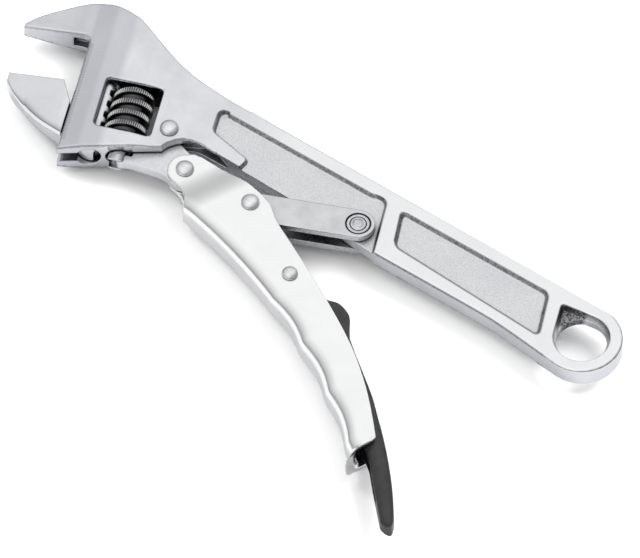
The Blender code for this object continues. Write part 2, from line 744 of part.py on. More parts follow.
def movable_jaw():
    tall = HEAD_THICKNESS
    blank = plate("movable_jaw", [moving_jaw_outline()], -tall, tall)
    combine(blank, thickness_block("form_moving_jaw", THICKNESS_STATIONS[:5]), "INTERSECT")
    bevel(blank, EDGE_ROUND / 3, segments=1)
    top = JAW_OPENING + MOVING_JAW_HEIGHT * 0.42
    low = JAW_OPENING + MOVING_JAW_HEIGHT * 0.98
    far = BORE_ACROSS
    corners = [jaw(-FIT * 4, top), jaw(far, top), jaw(far, low), jaw(-FIT * 4, low)]
    neck = plate("form_neck", [corners], -SLOT_WIDTH / 2 + FIT, SLOT_WIDTH / 2 - FIT, cutter=True)
    bar = turned("form_bar", along_axis(jaw(BORE_ACROSS, BAR_TOP), JAW_DOWN),
                 chamfered(BAR_RADIUS, BAR_LENGTH, FIT), cutter=True)
    combine(blank, neck, "UNION")
    combine(blank, bar, "UNION")
    first = math.floor((BAR_TOP - worm_thread_middle(0)) / WORM_PITCH)
    last = math.ceil((BAR_TOP + BAR_LENGTH - worm_thread_middle(0)) / WORM_PITCH)
    for index in range(first, last + 1):
        if BAR_TOP < worm_thread_middle(index) + WORM_PITCH / 2 < BAR_TOP + BAR_LENGTH + WORM_PITCH:
            cut(blank, groove_cutter(index))
    return finish(shade(applied(blank)), (0.74, 0.75, 0.77), 1.0, 0.2)


def chamfered(radius, length, chamfer):
    return [(0, length), (radius - chamfer, length), (radius, length - chamfer), (radius, chamfer),
            (radius - chamfer, 0), (0, 0)]


# Worm

def thread_profile():
    """Points over one pitch: height along the axis and radius."""
    half = THREAD_CREST_WIDTH / 2
    foot = half + THREAD_FLANK
    return [(-foot, WORM_ROOT_RADIUS), (-half, WORM_RADIUS), (half, WORM_RADIUS), (foot, WORM_ROOT_RADIUS)]


def thread_rod():
    """A rod with an endless thread, longer than the worm at both ends, closed by a fan."""
    profile = thread_profile()
    per_turn = len(profile)
    turns = math.ceil(WORM_LENGTH / WORM_PITCH) + 4
    start = WORM_START - WORM_PITCH * 2
    work = bmesh.new()
    columns = []
    for side in range(ROUND_SIDES):
        share = side / ROUND_SIDES
        angle = 2 * math.pi * share
        column = []
        for turn_index in range(turns):
            for height, radius in profile:
                z = start + WORM_PITCH * (turn_index + share) + height
                column.append(work.verts.new((radius * math.cos(angle), radius * math.sin(angle), z)))
        columns.append(column)
    for side in range(ROUND_SIDES):
        here = columns[side]
        there = columns[(side + 1) % ROUND_SIDES]
        shift = per_turn if side == ROUND_SIDES - 1 else 0
        for row in range(len(here) - 1 - shift):
            work.faces.new((here[row], there[row + shift], there[row + 1 + shift], here[row + 1]))
    low_mid = work.verts.new((0, 0, start - WORM_PITCH / 2))
    high_mid = work.verts.new((0, 0, start + WORM_PITCH * (turns + 0.5)))
    low_loop = [column[0] for column in columns] + columns[0][per_turn:0:-1]
    high_loop = [column[-1] for column in columns]
    tail = columns[-1][-1 - per_turn:-1]
    low_ring = low_loop
    high_ring = tail[::-1]
    for index in range(len(low_ring)):
        work.faces.new((low_ring[index], low_ring[(index + 1) % len(low_ring)], low_mid))
    ring = high_loop + high_ring
    for index in range(len(ring)):
        work.faces.new((ring[(index + 1) % len(ring)], ring[index], high_mid))
    bmesh.ops.triangulate(work, faces=work.faces)
    return work


def worm_screw():
    matrix = along_axis(jaw(WORM_ACROSS, 0), JAW_DOWN)
    work = thread_rod()
    bmesh.ops.transform(work, verts=work.verts, matrix=matrix)
    rod = from_bmesh("worm_screw", work, False)
    bore = AXLE_TIP_RADIUS + FIT
    seat = SPRING_RADIUS + SPRING_WIRE / 2 + FIT
    floor = SPRING_TURNS * SPRING_PITCH + SPRING_WIRE
    rim = WORM_RADIUS + FIT
    chamfer = THREAD_DEPTH / 2
    outside = [(rim - chamfer, WORM_LENGTH), (rim, WORM_LENGTH - chamfer), (rim, chamfer), (rim - chamfer, 0)]
    inside = [(seat, 0), (seat, floor), (bore, floor), (bore, WORM_LENGTH)]
    profile = [(bore, WORM_LENGTH)] + outside + inside
    blank = turned("form_worm", along_axis(jaw(WORM_ACROSS, WORM_START), JAW_DOWN), profile, cutter=True)
    combine(rod, blank, "INTERSECT")
    return finish(shade(applied(rod)), (0.30, 0.31, 0.33), 1.0, 0.28)


def worm_axle():
    length = AXLE_END - AXLE_TOP
    shoulder = AXLE_END - WORM_END - FIT
    chamfer = FIT * 2
    profile = [(0, length), (AXLE_RADIUS - chamfer, length), (AXLE_RADIUS, length - chamfer),
               (AXLE_RADIUS, length - shoulder), (AXLE_TIP_RADIUS, length - shoulder),
               (AXLE_TIP_RADIUS, chamfer), (AXLE_TIP_RADIUS - chamfer, 0), (0, 0)]
    pin = turned("worm_axle", along_axis(jaw(WORM_ACROSS, AXLE_TOP), JAW_DOWN), profile)
    return finish(shade(pin), (0.55, 0.56, 0.58), 1.0, 0.25)


# Springs

def tube(name, points, wire, matrix):
    """One round wire along the points, closed at both ends."""
    curve = bpy.data.curves.new(name, "CURVE")
    curve.dimensions = "3D"
    curve.bevel_depth = wire / 2
    curve.bevel_resolution = 1
    curve.use_fill_caps = True
    spline = curve.splines.new("POLY")
    spline.points.add(len(points) - 1)
    for knot, point in zip(spline.points, points):
        knot.co = (*point, 1)
    made = curve_to_mesh(name, curve, False)
    made.data.transform(matrix)
    return made


def least_gap(points, wire, apart):
    """The least clear distance between stretches of the wire at least apart points from each other."""
    gap = min((a - b).length for i, a in enumerate(points) for b in points[i + apart:])
    return gap - wire


def report_gap(name, points, wire):
    print(name, "least gap to itself %.2f mm" % (least_gap(points, wire, COIL_POINTS - 2) * MILLIMETRES))


def axle_spring():
    low = SPRING_WIRE / 2
    points = []
    for index in range(SPRING_TURNS * COIL_POINTS + 1):
        angle = 2 * math.pi * index / COIL_POINTS
        height = low + SPRING_PITCH * index / COIL_POINTS
        points.append(Vector((SPRING_RADIUS * math.cos(angle), SPRING_RADIUS * math.sin(angle), height)))
    report_gap("axle_spring", points, SPRING_WIRE)
    start = WORM_START - FIT
    made = tube("axle_spring", points, SPRING_WIRE, along_axis(jaw(WORM_ACROSS, start), JAW_DOWN))
    return finish(shade(made), (0.45, 0.46, 0.48), 1.0, 0.35)


def release_spring():
    """A torsion coil round the release rivet, one leg under the release lever, one on the lever."""
    height = COIL_TURNS * COIL_PITCH
    points = []
    first = math.radians(90)
    for index in range(COIL_TURNS * COIL_POINTS + 1):
        angle = first + 2 * math.pi * index / COIL_POINTS
        z = -height / 2 + COIL_PITCH * index / COIL_POINTS
        points.append(Vector((COIL_RADIUS * math.cos(angle), COIL_RADIUS * math.sin(angle), z)))
    leg_start = points[0] + Vector((COIL_LEG, 0, 0))
    leg_end = points[-1] + Vector((-COIL_LEG / 2, 0, 0))
    mid = points[0] + Vector((COIL_LEG / 2, 0, 0))
    report_gap("release_spring", points, COIL_WIRE)
    matrix = upright(RELEASE_PIVOT) @ Matrix.Rotation(LEVER_ANGLE, 4, "Z")
    made = tube("release_spring", [leg_start, mid] + points + [leg_end], COIL_WIRE, matrix)
    return finish(shade(made), (0.45, 0.46, 0.48), 1.0, 0.35)


# Rocker

def rocker():
    holes = [ring(LEVER_PIVOT, RIVET_RADIUS + FIT), ring(PIVOT, RIVET_RADIUS + FIT)]
    half = ROCKER_THICKNESS / 2
    made = plate("rocker", [rocker_outline()] + holes, -half, half)
    return finish(shade(made), (0.66, 0.67, 0.69), 1.0, 0.3)


# Rivets

def rivet(name, centre, radius, head_radius, half_grip):
    """A rivet with a domed head at both ends, its heads just clear of what they hold."""
    seat = half_grip + FIT / 2
    dome = [(head_radius * math.sin(a), seat + RIVET_HEAD_HEIGHT * (0.25 + 0.75 * math.cos(a)))
            for a in (math.radians(d) for d in (0, 22, 44, 66, 90))]
    upper = dome + [(head_radius, seat), (radius, seat)]
    lower = [(r, -z) for r, z in upper][::-1]
    made = turned(name, upright(centre), upper + lower)
    return finish(shade(made), (0.70, 0.71, 0.73), 1.0, 0.25)


def washer_seat():
    """Height of the recess floor that the washers lie on."""
    return WEB_THICKNESS / 2 + FIT + LINK_THICKNESS - ANCHOR_RECESS_DEPTH


def anchor_washer(name, side):
    low = washer_seat() + FIT
    high = low + WASHER_THICKNESS
    rings = [ring(ANCHOR, WASHER_RADIUS), ring(ANCHOR, ANCHOR_RADIUS + FIT)]
    made = plate(name, rings, low, high) if side > 0 else plate(name, rings, -high, -low)
    return finish(shade(made), (0.68, 0.69, 0.71), 1.0, 0.28)


def anchor_pin():
    """The peened pin through the web, its crowned ends sunk in the links' recesses."""
    crown = washer_seat() + FIT + WASHER_THICKNESS * 1.5
    shoulder = crown - WASHER_THICKNESS / 2
    chamfer = ANCHOR_CROWN_RADIUS / 4
    profile = [(0, crown), (ANCHOR_CROWN_RADIUS - chamfer, crown), (ANCHOR_CROWN_RADIUS, shoulder),
               (ANCHOR_RADIUS, shoulder)]
    made = turned("anchor_pin", upright(ANCHOR), profile + [(r, -z) for r, z in profile][::-1])
    return finish(shade(made), (0.70, 0.71, 0.73), 1.0, 0.25)


# Links

def link_outline():
    run = ANCHOR - LINK_PIVOT
    angle = math.atan2(run.y, run.x)
    quarter = math.pi / 2
    left = arc(LINK_PIVOT, LINK_RADIUS, angle + quarter, angle + 3 * quarter)
    return left + arc(ANCHOR, LINK_RADIUS, angle - quarter, angle + quarter)


def link(name, side):
    inner = WEB_THICKNESS / 2 + FIT
    outer = inner + LINK_THICKNESS
    holes = [ring(LINK_PIVOT, RIVET_RADIUS + LINK_PIVOT_PLAY), ring(ANCHOR, ANCHOR_RADIUS + FIT)]
    low, high = (inner, outer) if side > 0 else (-outer, -inner)
    made = plate(name, [link_outline()] + holes, low, high)
    floor = outer - ANCHOR_RECESS_DEPTH if side > 0 else -outer - OVERRUN
    depth = ANCHOR_RECESS_DEPTH + OVERRUN
    cut(made, drum("cut_seat_" + name, upright(ANCHOR, floor), ANCHOR_RECESS_RADIUS, depth))
    return finish(shade(applied(made)), (0.62, 0.63, 0.65), 1.0, 0.32)


def link_spacer():
    """The tube that keeps the two links apart on their rivet."""
    half = WEB_THICKNESS / 2
    inner = RIVET_RADIUS + FIT
    outer = inner + SPACER_WALL
    made = plate("link_spacer", [ring(LINK_PIVOT, outer), ring(LINK_PIVOT, inner)], -half, half)
    return finish(shade(made), (0.60, 0.61, 0.63), 1.0, 0.3)


# Lever

LEVER_INNER_SHARES = ((-0.027, 0.37), (0.0, 0.49), (0.056, 0.68), (0.117, 0.866), (0.15, 0.95),
                      (0.186, 1.006), (0.21, 1.015), (0.231, 0.977), (0.26, 0.93), (0.35, 0.91),
                      (0.52, 0.85), (0.66, 0.73), (0.76, 0.54), (0.84, 0.32), (0.92, 0.05), (0.947, -0.08))
EAR_UNDERSIDE_SHARES = ((2.5, 1.5), (2.3, 1.33), (1.6, 0.94), (0.9, 0.82), (0.4, 0.9))
LEVER_END_SHARES = ((0.952, -0.30), (0.97, -0.50), (0.99, -0.63))


def spine(along):
    first = LEVER_LENGTH - FINGER_PITCH * (FINGER_COUNT - 0.3)
    phase = (along - first) / FINGER_PITCH
    hollow = abs(math.sin(math.pi * phase)) * FINGER_DEPTH if 0 < phase < FINGER_COUNT - 0.3 else 0
    return spine_line(along) + hollow


def half_width(along):
    """Half the channel's outer width: narrow over the rocker, then the full width."""
    narrow = EAR_GAP / 2 + SHEET
    t = (along - EAR_RADIUS * 0.8) / (EAR_RADIUS * 1.6)
    t = min(1, max(0, t))
    return narrow + (LEVER_WIDTH / 2 - narrow) * t * t * (3 - 2 * t)


def lever_stations():
    plain = [-EAR_RADIUS * 1.3 + EAR_RADIUS * 0.4 * i for i in range(10)]
    start = plain[-1]
    count = math.ceil((LEVER_LENGTH - start) / (FINGER_PITCH / 6))
    return plain + [start + (LEVER_LENGTH - start) * i / count for i in range(1, count + 1)]


def channel_section(along):
    wide = half_width(along)
    radius = min(BEND_RADIUS, wide - FIT)
    low = spine(along)
    high = LEVER_INNER_HEIGHT + OVERRUN
    points = [(0.0, low)]
    for step in range(5):
        angle = math.pi / 2 * step / 4
        points.append((wide - radius + radius * math.sin(angle), low + radius - radius * math.cos(angle)))
    return points + [(wide, high)]


def lever_shell():
    """Half the channel's outer surface, mirrored and thickened inwards to the sheet."""
    work = bmesh.new()
    rows = []
    for along in lever_stations():
        rows.append([work.verts.new((along, y, z)) for z, y in channel_section(along)])
    for before, after in zip(rows, rows[1:]):
        for index in range(len(before) - 1):
            work.faces.new((before[index], after[index], after[index + 1], before[index + 1]))
    mesh = bpy.data.meshes.new("lever_handle")
    work.to_mesh(mesh)
    work.free()
    made = place("lever_handle", mesh, False)
    mirror = made.modifiers.new("mirror", "MIRROR")
    mirror.use_axis = (False, False, True)
    mirror.merge_threshold = FIT / 30
    solid = made.modifiers.new("sheet", "SOLIDIFY")
    solid.thickness = SHEET
    solid.offset = -1
    solid.use_even_offset = True
    applied(made)
    made.data.transform(upright(LEVER_PIVOT) @ Matrix.Rotation(LEVER_ANGLE, 4, "Z"))
    weld(made.data)
    return made


def lever_side_outline():
    """The lever seen from the side: ears, inner edge, hollow end and everything below."""
    ear = arc(Vector((0, 0)), EAR_RADIUS, math.radians(275), math.radians(155))
    inner = [Vector((LEVER_LENGTH * a, LEVER_INNER_HEIGHT * b)) for a, b in LEVER_INNER_SHARES]
    end = [Vector((LEVER_LENGTH * a, LEVER_INNER_HEIGHT * b)) for a, b in LEVER_END_SHARES]
    below = -SPINE_DEPTH - LEVER_INNER_HEIGHT
    far = Vector((LEVER_LENGTH - FIT, -LEVER_INNER_HEIGHT * 0.68))
    low = [Vector((LEVER_LENGTH - FIT, below)), Vector((EAR_RADIUS * 3, below))]
    lens = [Vector((EAR_RADIUS * a, -EAR_RADIUS * b)) for a, b in EAR_UNDERSIDE_SHARES]
    points = ear + smooth(inner, 3) + smooth([inner[-1]] + end + [far], 2)[1:] + low + lens
    return [on_lever(point.x, point.y) for point in points]


def lever_handle():
    made = lever_shell()
    wide = LEVER_WIDTH
    combine(made, plate("form_lever_side", [lever_side_outline()], -wide, wide, cutter=True), "INTERSECT")
    for name, centre, radius in (("lever", LEVER_PIVOT, RIVET_RADIUS), ("link", LINK_PIVOT, RIVET_RADIUS),
                                 ("release", RELEASE_PIVOT, SMALL_RIVET_RADIUS)):
        cut(made, drum("cut_%s_rivet" % name, upright(centre, -wide), radius + FIT, wide * 2))
    return finish(shade(applied(made)), (0.80, 0.81, 0.83), 0.9, 0.38)


# Release lever

RELEASE_BACK_SHARES = ((-0.176, 0.779), (-0.1, 0.934), (0.0, 0.968), (0.06, 0.949), (0.105, 0.996),
                       (0.132, 1.171), (0.168, 1.234), (0.196, 1.196), (0.232, 1.031), (0.27, 0.965),
                       (0.375, 0.904), (0.457, 0.882), (0.563, 0.833), (0.643, 0.791), (0.717, 0.744),
                       (0.776, 0.692), (0.813, 0.652))
RELEASE_UNDER_SHARES = ((0.08, 0.35), (-0.06, 0.46), (-0.178, 0.577))
RELEASE_TIP_SHARES = ((0.45, 0.25), (0.5, 0.65), (0.2, 1.0))


def on_release(share, rise):
    """A point at a share of the release lever's length, and a rise over the spine in shares."""
    along = RELEASE_PIVOT_ALONG + RELEASE_LENGTH * share
    return Vector((along, spine_line(along) + LEVER_INNER_HEIGHT * rise))


def release_lever():
    back = [on_release(share, rise) for share, rise in RELEASE_BACK_SHARES]
    curve = smooth(back, 3)
    depth = RELEASE_TAIL_DEPTH
    tail = back[-1]
    heading = (back[-1] - back[-2]).normalized()
    down = Vector((heading.y, -heading.x))
    tip = [tail + heading * depth * a + down * depth * b for a, b in RELEASE_TIP_SHARES]
    under = [back[-4] + down * depth, back[-6] + down * depth * 1.1, back[-7] + down * depth * 1.1]
    under += [on_release(share, rise) for share, rise in RELEASE_UNDER_SHARES]
    outline = [on_lever(point.x, point.y) for point in curve + tip + under]
    half = RELEASE_WIDTH / 2
    made = plate("release_lever", [outline], -half, half)
    bevel(made, RELEASE_ROUND)
    hollow = curve + tip[:1] + [tip[1] - heading * depth * 0.3] + [point + down * depth for point in under]
    inside = offset(anticlockwise([on_lever(point.x, point.y) for point in hollow]), -RELEASE_SHEET)
    clear = half - RELEASE_SHEET
    cut(made, plate("cut_release_inside", [inside], -clear, clear, cutter=True))
    bore = SMALL_RIVET_RADIUS + FIT
    cut(made, drum("cut_release_pivot", upright(RELEASE_PIVOT, -half * 2), bore, half * 4))
    return finish(shade(applied(made)), (0.03, 0.03, 0.035), 0.0, 0.35)


def build():
    clear_scene()
    wrench_body()
    movable_jaw()
    worm_screw()
    worm_axle()
    axle_spring()
    rocker()
    grip = EAR_GAP / 2 + SHEET
    rivet("rocker_rivet", PIVOT, RIVET_RADIUS, RIVET_HEAD_RADIUS, NECK_THICKNESS / 2)
    rivet("lever_rivet", LEVER_PIVOT, RIVET_RADIUS, RIVET_HEAD_RADIUS, grip)
    rivet("link_rivet", LINK_PIVOT, RIVET_RADIUS, RIVET_HEAD_RADIUS, LEVER_WIDTH / 2)
    rivet("release_rivet", RELEASE_PIVOT, SMALL_RIVET_RADIUS, SMALL_HEAD_RADIUS, LEVER_WIDTH / 2)
    link("front_link", 1)
    link("back_link", -1)
    link_spacer()
    anchor_pin()
    anchor_washer("front_anchor_washer", 1)
    anchor_washer("back_anchor_washer", -1)
    lever_handle()
    release_lever()
    release_spring()


build()
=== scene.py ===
# Locking adjustable wrench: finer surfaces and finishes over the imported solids.
# Metres, +X along the handle, +Z out of the flat side, origin in the middle of the fixed jaw face.

import json
import math

import bmesh
import bpy
import numpy as np
from mathutils.kdtree import KDTree
from mathutils import Matrix, Vector


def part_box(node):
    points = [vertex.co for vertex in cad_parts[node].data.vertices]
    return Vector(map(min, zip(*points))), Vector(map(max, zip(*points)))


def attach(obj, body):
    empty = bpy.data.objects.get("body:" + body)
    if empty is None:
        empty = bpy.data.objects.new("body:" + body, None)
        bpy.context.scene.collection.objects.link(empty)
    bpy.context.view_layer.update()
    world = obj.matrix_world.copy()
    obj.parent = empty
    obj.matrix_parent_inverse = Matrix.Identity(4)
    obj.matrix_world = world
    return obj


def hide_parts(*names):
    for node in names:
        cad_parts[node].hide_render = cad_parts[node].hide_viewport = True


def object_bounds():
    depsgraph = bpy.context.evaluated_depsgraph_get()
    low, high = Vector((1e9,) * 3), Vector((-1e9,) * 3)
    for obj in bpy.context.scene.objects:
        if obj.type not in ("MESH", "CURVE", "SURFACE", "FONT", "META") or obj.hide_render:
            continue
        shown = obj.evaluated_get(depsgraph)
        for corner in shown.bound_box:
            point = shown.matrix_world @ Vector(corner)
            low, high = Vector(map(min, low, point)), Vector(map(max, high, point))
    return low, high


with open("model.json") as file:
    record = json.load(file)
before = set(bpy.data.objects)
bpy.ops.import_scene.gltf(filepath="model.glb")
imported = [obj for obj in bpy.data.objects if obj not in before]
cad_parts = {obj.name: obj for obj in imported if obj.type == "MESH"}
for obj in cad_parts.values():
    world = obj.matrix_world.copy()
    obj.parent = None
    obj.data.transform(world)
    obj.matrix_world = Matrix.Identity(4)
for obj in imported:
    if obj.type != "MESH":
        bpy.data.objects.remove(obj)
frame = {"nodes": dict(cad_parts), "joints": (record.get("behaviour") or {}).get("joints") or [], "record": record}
CAD_LOW, CAD_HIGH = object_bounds()
NODES = frame["nodes"]
BODY_OF = {node: body for body, members in frame["record"]["behaviour"]["bodies"].items() for node in members}
SLOT_OF = {part["node"]: part["material_slot"] for part in frame["record"]["subparts"]}
JOINT = {joint["name"]: joint for joint in frame["joints"]}

MM = 0.001
SHARP_ANGLE = math.radians(38)
TURN_SIDES = 72

# The jaw's slide. Places on the head are given across it, from the jaws' heel, and down along it.
JAW_ANGLE = math.radians(20.5)
JAW_ACROSS = Vector((math.cos(JAW_ANGLE), math.sin(JAW_ANGLE)))
JAW_DOWN = Vector((math.sin(JAW_ANGLE), -math.cos(JAW_ANGLE)))
HEEL_ACROSS = 14.0 * MM

# The worm
WORM_CENTRE = Vector(JOINT["worm_spin"]["pos_m"]).xy
WORM_PITCH = 4.77 * MM
WORM_RADIUS = 7.7 * MM
THREAD_DEPTH = 2.0 * MM
WORM_ROOT = WORM_RADIUS - THREAD_DEPTH
THREAD_CREST = 0.85 * MM
THREAD_FOOT = 1.4 * MM
WORM_CHAMFER = 0.5 * MM
WORM_BORE = 2.3 * MM
KNURL_COUNT = 54
KNURL_STEPS = 6
KNURL_DEPTH = 0.45 * MM
MERGE_REACH = 0.002 * MM
CUT_REACH = 0.0005 * MM
RIM_REACH = 0.001 * MM

# Rivets. The shares give the height of a head's side, under its dome, and the width of its seat.
RIVET_SHANK = 2.2 * MM
SMALL_RIVET_SHANK = 1.9 * MM
DOME_HEIGHT = 1.9 * MM
DOME_FOOT_SHARE = 0.16
DOME_SEAT_SHARE = 0.985
DOME_STEPS = 14

# The handle's outline. From LEAN_START on its lower edge leans straight into the hanging eye.
HANDLE_MIDDLE = -2.01 * MM
HANDLE_TOP = 11.09 * MM
HANDLE_BOTTOM = -15.11 * MM
EYE_CENTRE = Vector((230.19, -3.91)) * MM
EYE_RADIUS = 14.7 * MM
EYE_REACH = 0.25 * MM
HOLE_RADIUS = 9.0 * MM
HOLE_MARGIN = 0.12 * MM
HOLE_LIP = (-0.6 * MM, 0.5 * MM)
LEAN_START = 200 * MM
LEAN_SPAN = (150 * MM, 228.45 * MM)
LEAN_SLOPE = 0.1194
LEAN_SOFT = 6 * MM
LEAN_GIVE = 6 * MM

# The handle's rims and recesses. Levels are distances from the tool's middle plane.
RIM_LEVEL = 4.0 * MM
RIM_EDGE = 0.5 * MM
RIM_ROUND = 1.0 * MM
RIM_START = 76 * MM
RIM_BLEND = 14 * MM
PANEL_FLOOR = 2.2 * MM
WALL_WIDTH = 1.9 * MM
PANEL_ONE_SPAN = (70 * MM, 138 * MM)
PANEL_ONE_TOP = 6.4 * MM
PANEL_ONE_LOW = 2.4 * MM
PANEL_ONE_LEVEL = 2.0 * MM
PANEL_ONE_BLEND = 5 * MM
TONGUE_FOOT = 72.0 * MM
TONGUE_LEAN = 0.35
PANEL_TWO_START = (142.9 * MM, 6.5 * MM)
PANEL_TWO_LEAN = 0.4167
PANEL_TWO = [(145.6 * MM, 6.4 * MM), (152.5 * MM, -9.2 * MM), (218.3 * MM, -12.6 * MM),
             (210.2 * MM, 6.4 * MM)]
PANEL_ROUND = 3.0 * MM
POCKET_FLOOR = 1.3 * MM
POCKET_RADIUS = 10.4 * MM
POCKET_CORNER = Vector((217.9, 3.4)) * MM
POCKET_ROUND = 1.6 * MM

# The head
HEAD_LEVEL = 7.0 * MM
NECK_LEVEL = 5.7 * MM
HEAD_SLOPE = (24.0 * MM, 33.5 * MM)
HEAD_END = 78 * MM
HEAD_ROUND = 0.9 * MM
HEAD_EDGE_DEPTH = 1.6 * MM
HEAD_LEVELS = [(across * MM, level * MM) for across, level in (
    (-29, 3.2), (-25, 3.2), (-3, 5.75), (0, 5.9), (7.27, 7.0), (24, 7.0), (33.5, 5.7), (41.1, 5.7),
    (54.9, 4.0), (300, 4.0))]
BAND_FADE = (-14.0 * MM, 1.0 * MM)
BAND_RIDGE = (13.5 * MM, 16.1 * MM)
WINDOW = ((10.0 * MM, 31.4 * MM), (16.5 * MM, 38.1 * MM))
WINDOW_EDGE = (5.6 * MM, 6.0 * MM)
MARK_PITCH = 0.72 * MM
MARK_SHARE = 0.42
MARK_LENGTH = 2.0 * MM
MARK_SPAN = (3.5 * MM, 46.5 * MM)

# The moving jaw. Its underside is rounded less towards the tip.
JAW_ROUND = 3.2 * MM
JAW_ROUND_LEAST = 0.25
JAW_TIP = -25.5 * MM
JAW_ROUND_RUN = 9 * MM
JAW_NOSE = -0.5 * MM
JAW_FACE_START = -23 * MM
JAW_WALL_END = 1.5 * MM

# How much of a face's normal points up, for walls and flat faces, and down the slide, for an underside
HEAD_WALL = 0.35
JAW_WALL = 0.3
JAW_FLAT = 0.97
JAW_UNDERSIDE = 0.15

# The lever. Places on it are given along and above a line through its rivet.
LEVER_START = Vector((73.093, -23.210)) * MM
LEVER_ANGLE = math.radians(-26.0)
LEVER_HEADING = Vector((math.cos(LEVER_ANGLE), math.sin(LEVER_ANGLE)))
LEVER_SIDE = Vector((-LEVER_HEADING.y, LEVER_HEADING.x))
LEVER_NARROW = 4.1 * MM
LEVER_WIDE = 7.5 * MM
LEVER_BEND = 5.0 * MM
LEVER_SKIN = 0.6 * MM
LEVER_SKIN_START = -2 * MM
LEAST_FLAT = 0.3 * MM
SPINE_DEPTH = 1.6 * MM
ARCH_RADIUS = 225.0 * MM
ARCH_MIDDLE = 73.5 * MM
FINGER_START = 63.75 * MM
FINGER_PITCH = 22.5 * MM
FINGER_DEPTH = 1.1 * MM
FINGERS = 3.7
FINGER_SOFT = 0.03
FINGER_CUT = 0.17
FINGER_FULL = 0.85
NECK_SOLID = (5.04 * MM, 15.12 * MM)
NECK_SOFT = (3.6 * MM, 19.6 * MM)
LEVER_END = 135.8 * MM
END_SQUEEZE = 0.2
END_DEPTH = 12 * MM
END_REACH = 9 * MM
END_ROUNDS = 10

# The release lever's tail, in the lever's frame
TAIL = (118.0 * MM, 168.0 * MM)
TAIL_STATIONS = 60
TAIL_BLEND = 10 * MM
TAIL_SWELL_SHARE = 0.30
TAIL_TAPER_SHARE = 0.56
TAIL_CROWN_SHARE = 0.30
TAIL_THIN_SHARE = 0.25
TIP_REACH = 6.5 * MM
TIP_ROUNDS = 40

# The axle's slotted end below the head
AXLE_ACROSS = 21.0 * MM
FORK_RADIUS = 3.7 * MM
FORK_SLOT = 2.3 * MM
FORK_SPAN = (43.9 * MM, 48.6 * MM)
FORK_STEPS = 20

# Each forged piece: voxel size in mm, rounds of wear, rounds of evening on broad faces, share of faces kept
FORGED = {
    "wrench_body": (0.28, 2, 60, 0.45),
    "movable_jaw": (0.20, 2, 30, 0.5),
    "lever_handle": (0.40, 2, 8, 1.0),
    "release_lever": (0.24, 12, 30, 0.6),
    "rocker": (0.22, 3, 0, 0.6),
    "front_link": (0.20, 4, 0, 0.6),
    "back_link": (0.20, 4, 0, 0.6),
    "anchor_pin": (0.12, 3, 0, 1.0),
    "front_anchor_washer": (0.12, 2, 0, 1.0),
    "back_anchor_washer": (0.12, 2, 0, 1.0),
    "worm_axle": (0.12, 3, 0, 1.0),
    "link_spacer": (0.2, 1, 0, 1.0),
    "axle_spring": (0.15, 2, 0, 1.0),
    "release_spring": (0.15, 2, 0, 1.0),
}
BROAD_FACED = ("wrench_body", "movable_jaw", "release_lever", "rocker", "front_link", "back_link")
EVEN_BEND = math.radians(5.0)
EVEN_MARGIN = 3

# Where the body's finishes and the painted shade on its recess walls start and end
CAST_START = (64 * MM, 68 * MM)
CAST_WALL_START = (66 * MM, 70 * MM)
CAST_WALL_SPAN = (-30 * MM, 9 * MM)
RIM_SHINE_START = (70 * MM, 100 * MM)
ROUGH_ALONG = (212 * MM, 226 * MM)
ROUGH_UP = (-3 * MM, 9 * MM)

# Colours besides the plain metals, dark and light where they are speckled. The wall, window, band, knurl gap and
# thread colours are painted shade.
CAST_FLOOR = ((0.64, 0.645, 0.66), (0.90, 0.905, 0.915))
# Painted shade on the sloping recess walls, speckled as cast metal
CAST_WALL_SHADE = ((0.22, 0.225, 0.23), (0.50, 0.505, 0.51))
# Painted shade on the walls of the worm's window
WINDOW_WALL_SHADE = ((0.03, 0.03, 0.032), (0.22, 0.22, 0.23))
POCKET_DIRT = ((0.06, 0.06, 0.062), (0.42, 0.42, 0.43))
# Painted shade on the head's band in front of its ridge
BAND_SHADE = (0.575, 0.59, 0.63)
RIM_COLOUR = (0.93, 0.935, 0.94)
MARK_COLOUR = (0.40, 0.41, 0.43)
# Painted shade in the worm's knurl gaps and on its thread's flanks and root
KNURL_GAP_SHADE = (0.16, 0.16, 0.165)
THREAD_FLANK_SHADE = (0.10, 0.10, 0.105)
CAST_GRAIN = 1600.0
SAND_GRAIN = 2600
SPECKLE_GRAIN = 1400
CAST_HEIGHT = 0.12 * MM
CAST_ROUGHNESS = 0.10

# Painted shade in slots, corners and beside other parts: how far walls shade, the openness where it is full and
# where it ends, its grey
SLOT_SHADE = (6 * MM, 0.18, 0.70, 0.03)
FAINT_SHADE = (3 * MM, 0.10, 0.55, 0.12)
WORM_SHADE = (3 * MM, 0.15, 0.75, 0.03)
# The metal's roughness deep in slots and corners, and the slight blue of the painted shade there
CORNER_ROUGHNESS = 0.5
SHADE_BLUE = 1.02

# The photograph's view: 34.4 degrees round from the front, 55 degrees up, through a long lens
CAMERA_AZIMUTH = math.radians(34.4)
CAMERA_ELEVATION = math.radians(55.0)
CAMERA_TARGET = Vector((138.07, -33.12, 0.0)) * MM
CAMERA_DISTANCE = 9.0
PICTURE_WIDTH = 226.95 * MM
SENSOR_WIDTH = 36.0

FLOOR_HALF = 6.0
FLOOR_GAP = 0.05 * MM
FLOOR_SEEN = (0.97, 0.97, 0.97)
FLOOR_REFLECTED = (0.62, 0.62, 0.63)

# Brightness of the studio by the height of the direction: a dark band low down, white above
STUDIO_STOPS = ((0.0, 0.16), (0.07, 0.16), (0.17, 0.42), (0.42, 0.72), (0.65, 0.88), (0.80, 0.97),
                (1.0, 1.04))


# Nodes of materials

def new_material(name):
    made = bpy.data.materials.new(name)
    made.use_nodes = True
    return made, made.node_tree, made.node_tree.nodes["Principled BSDF"]


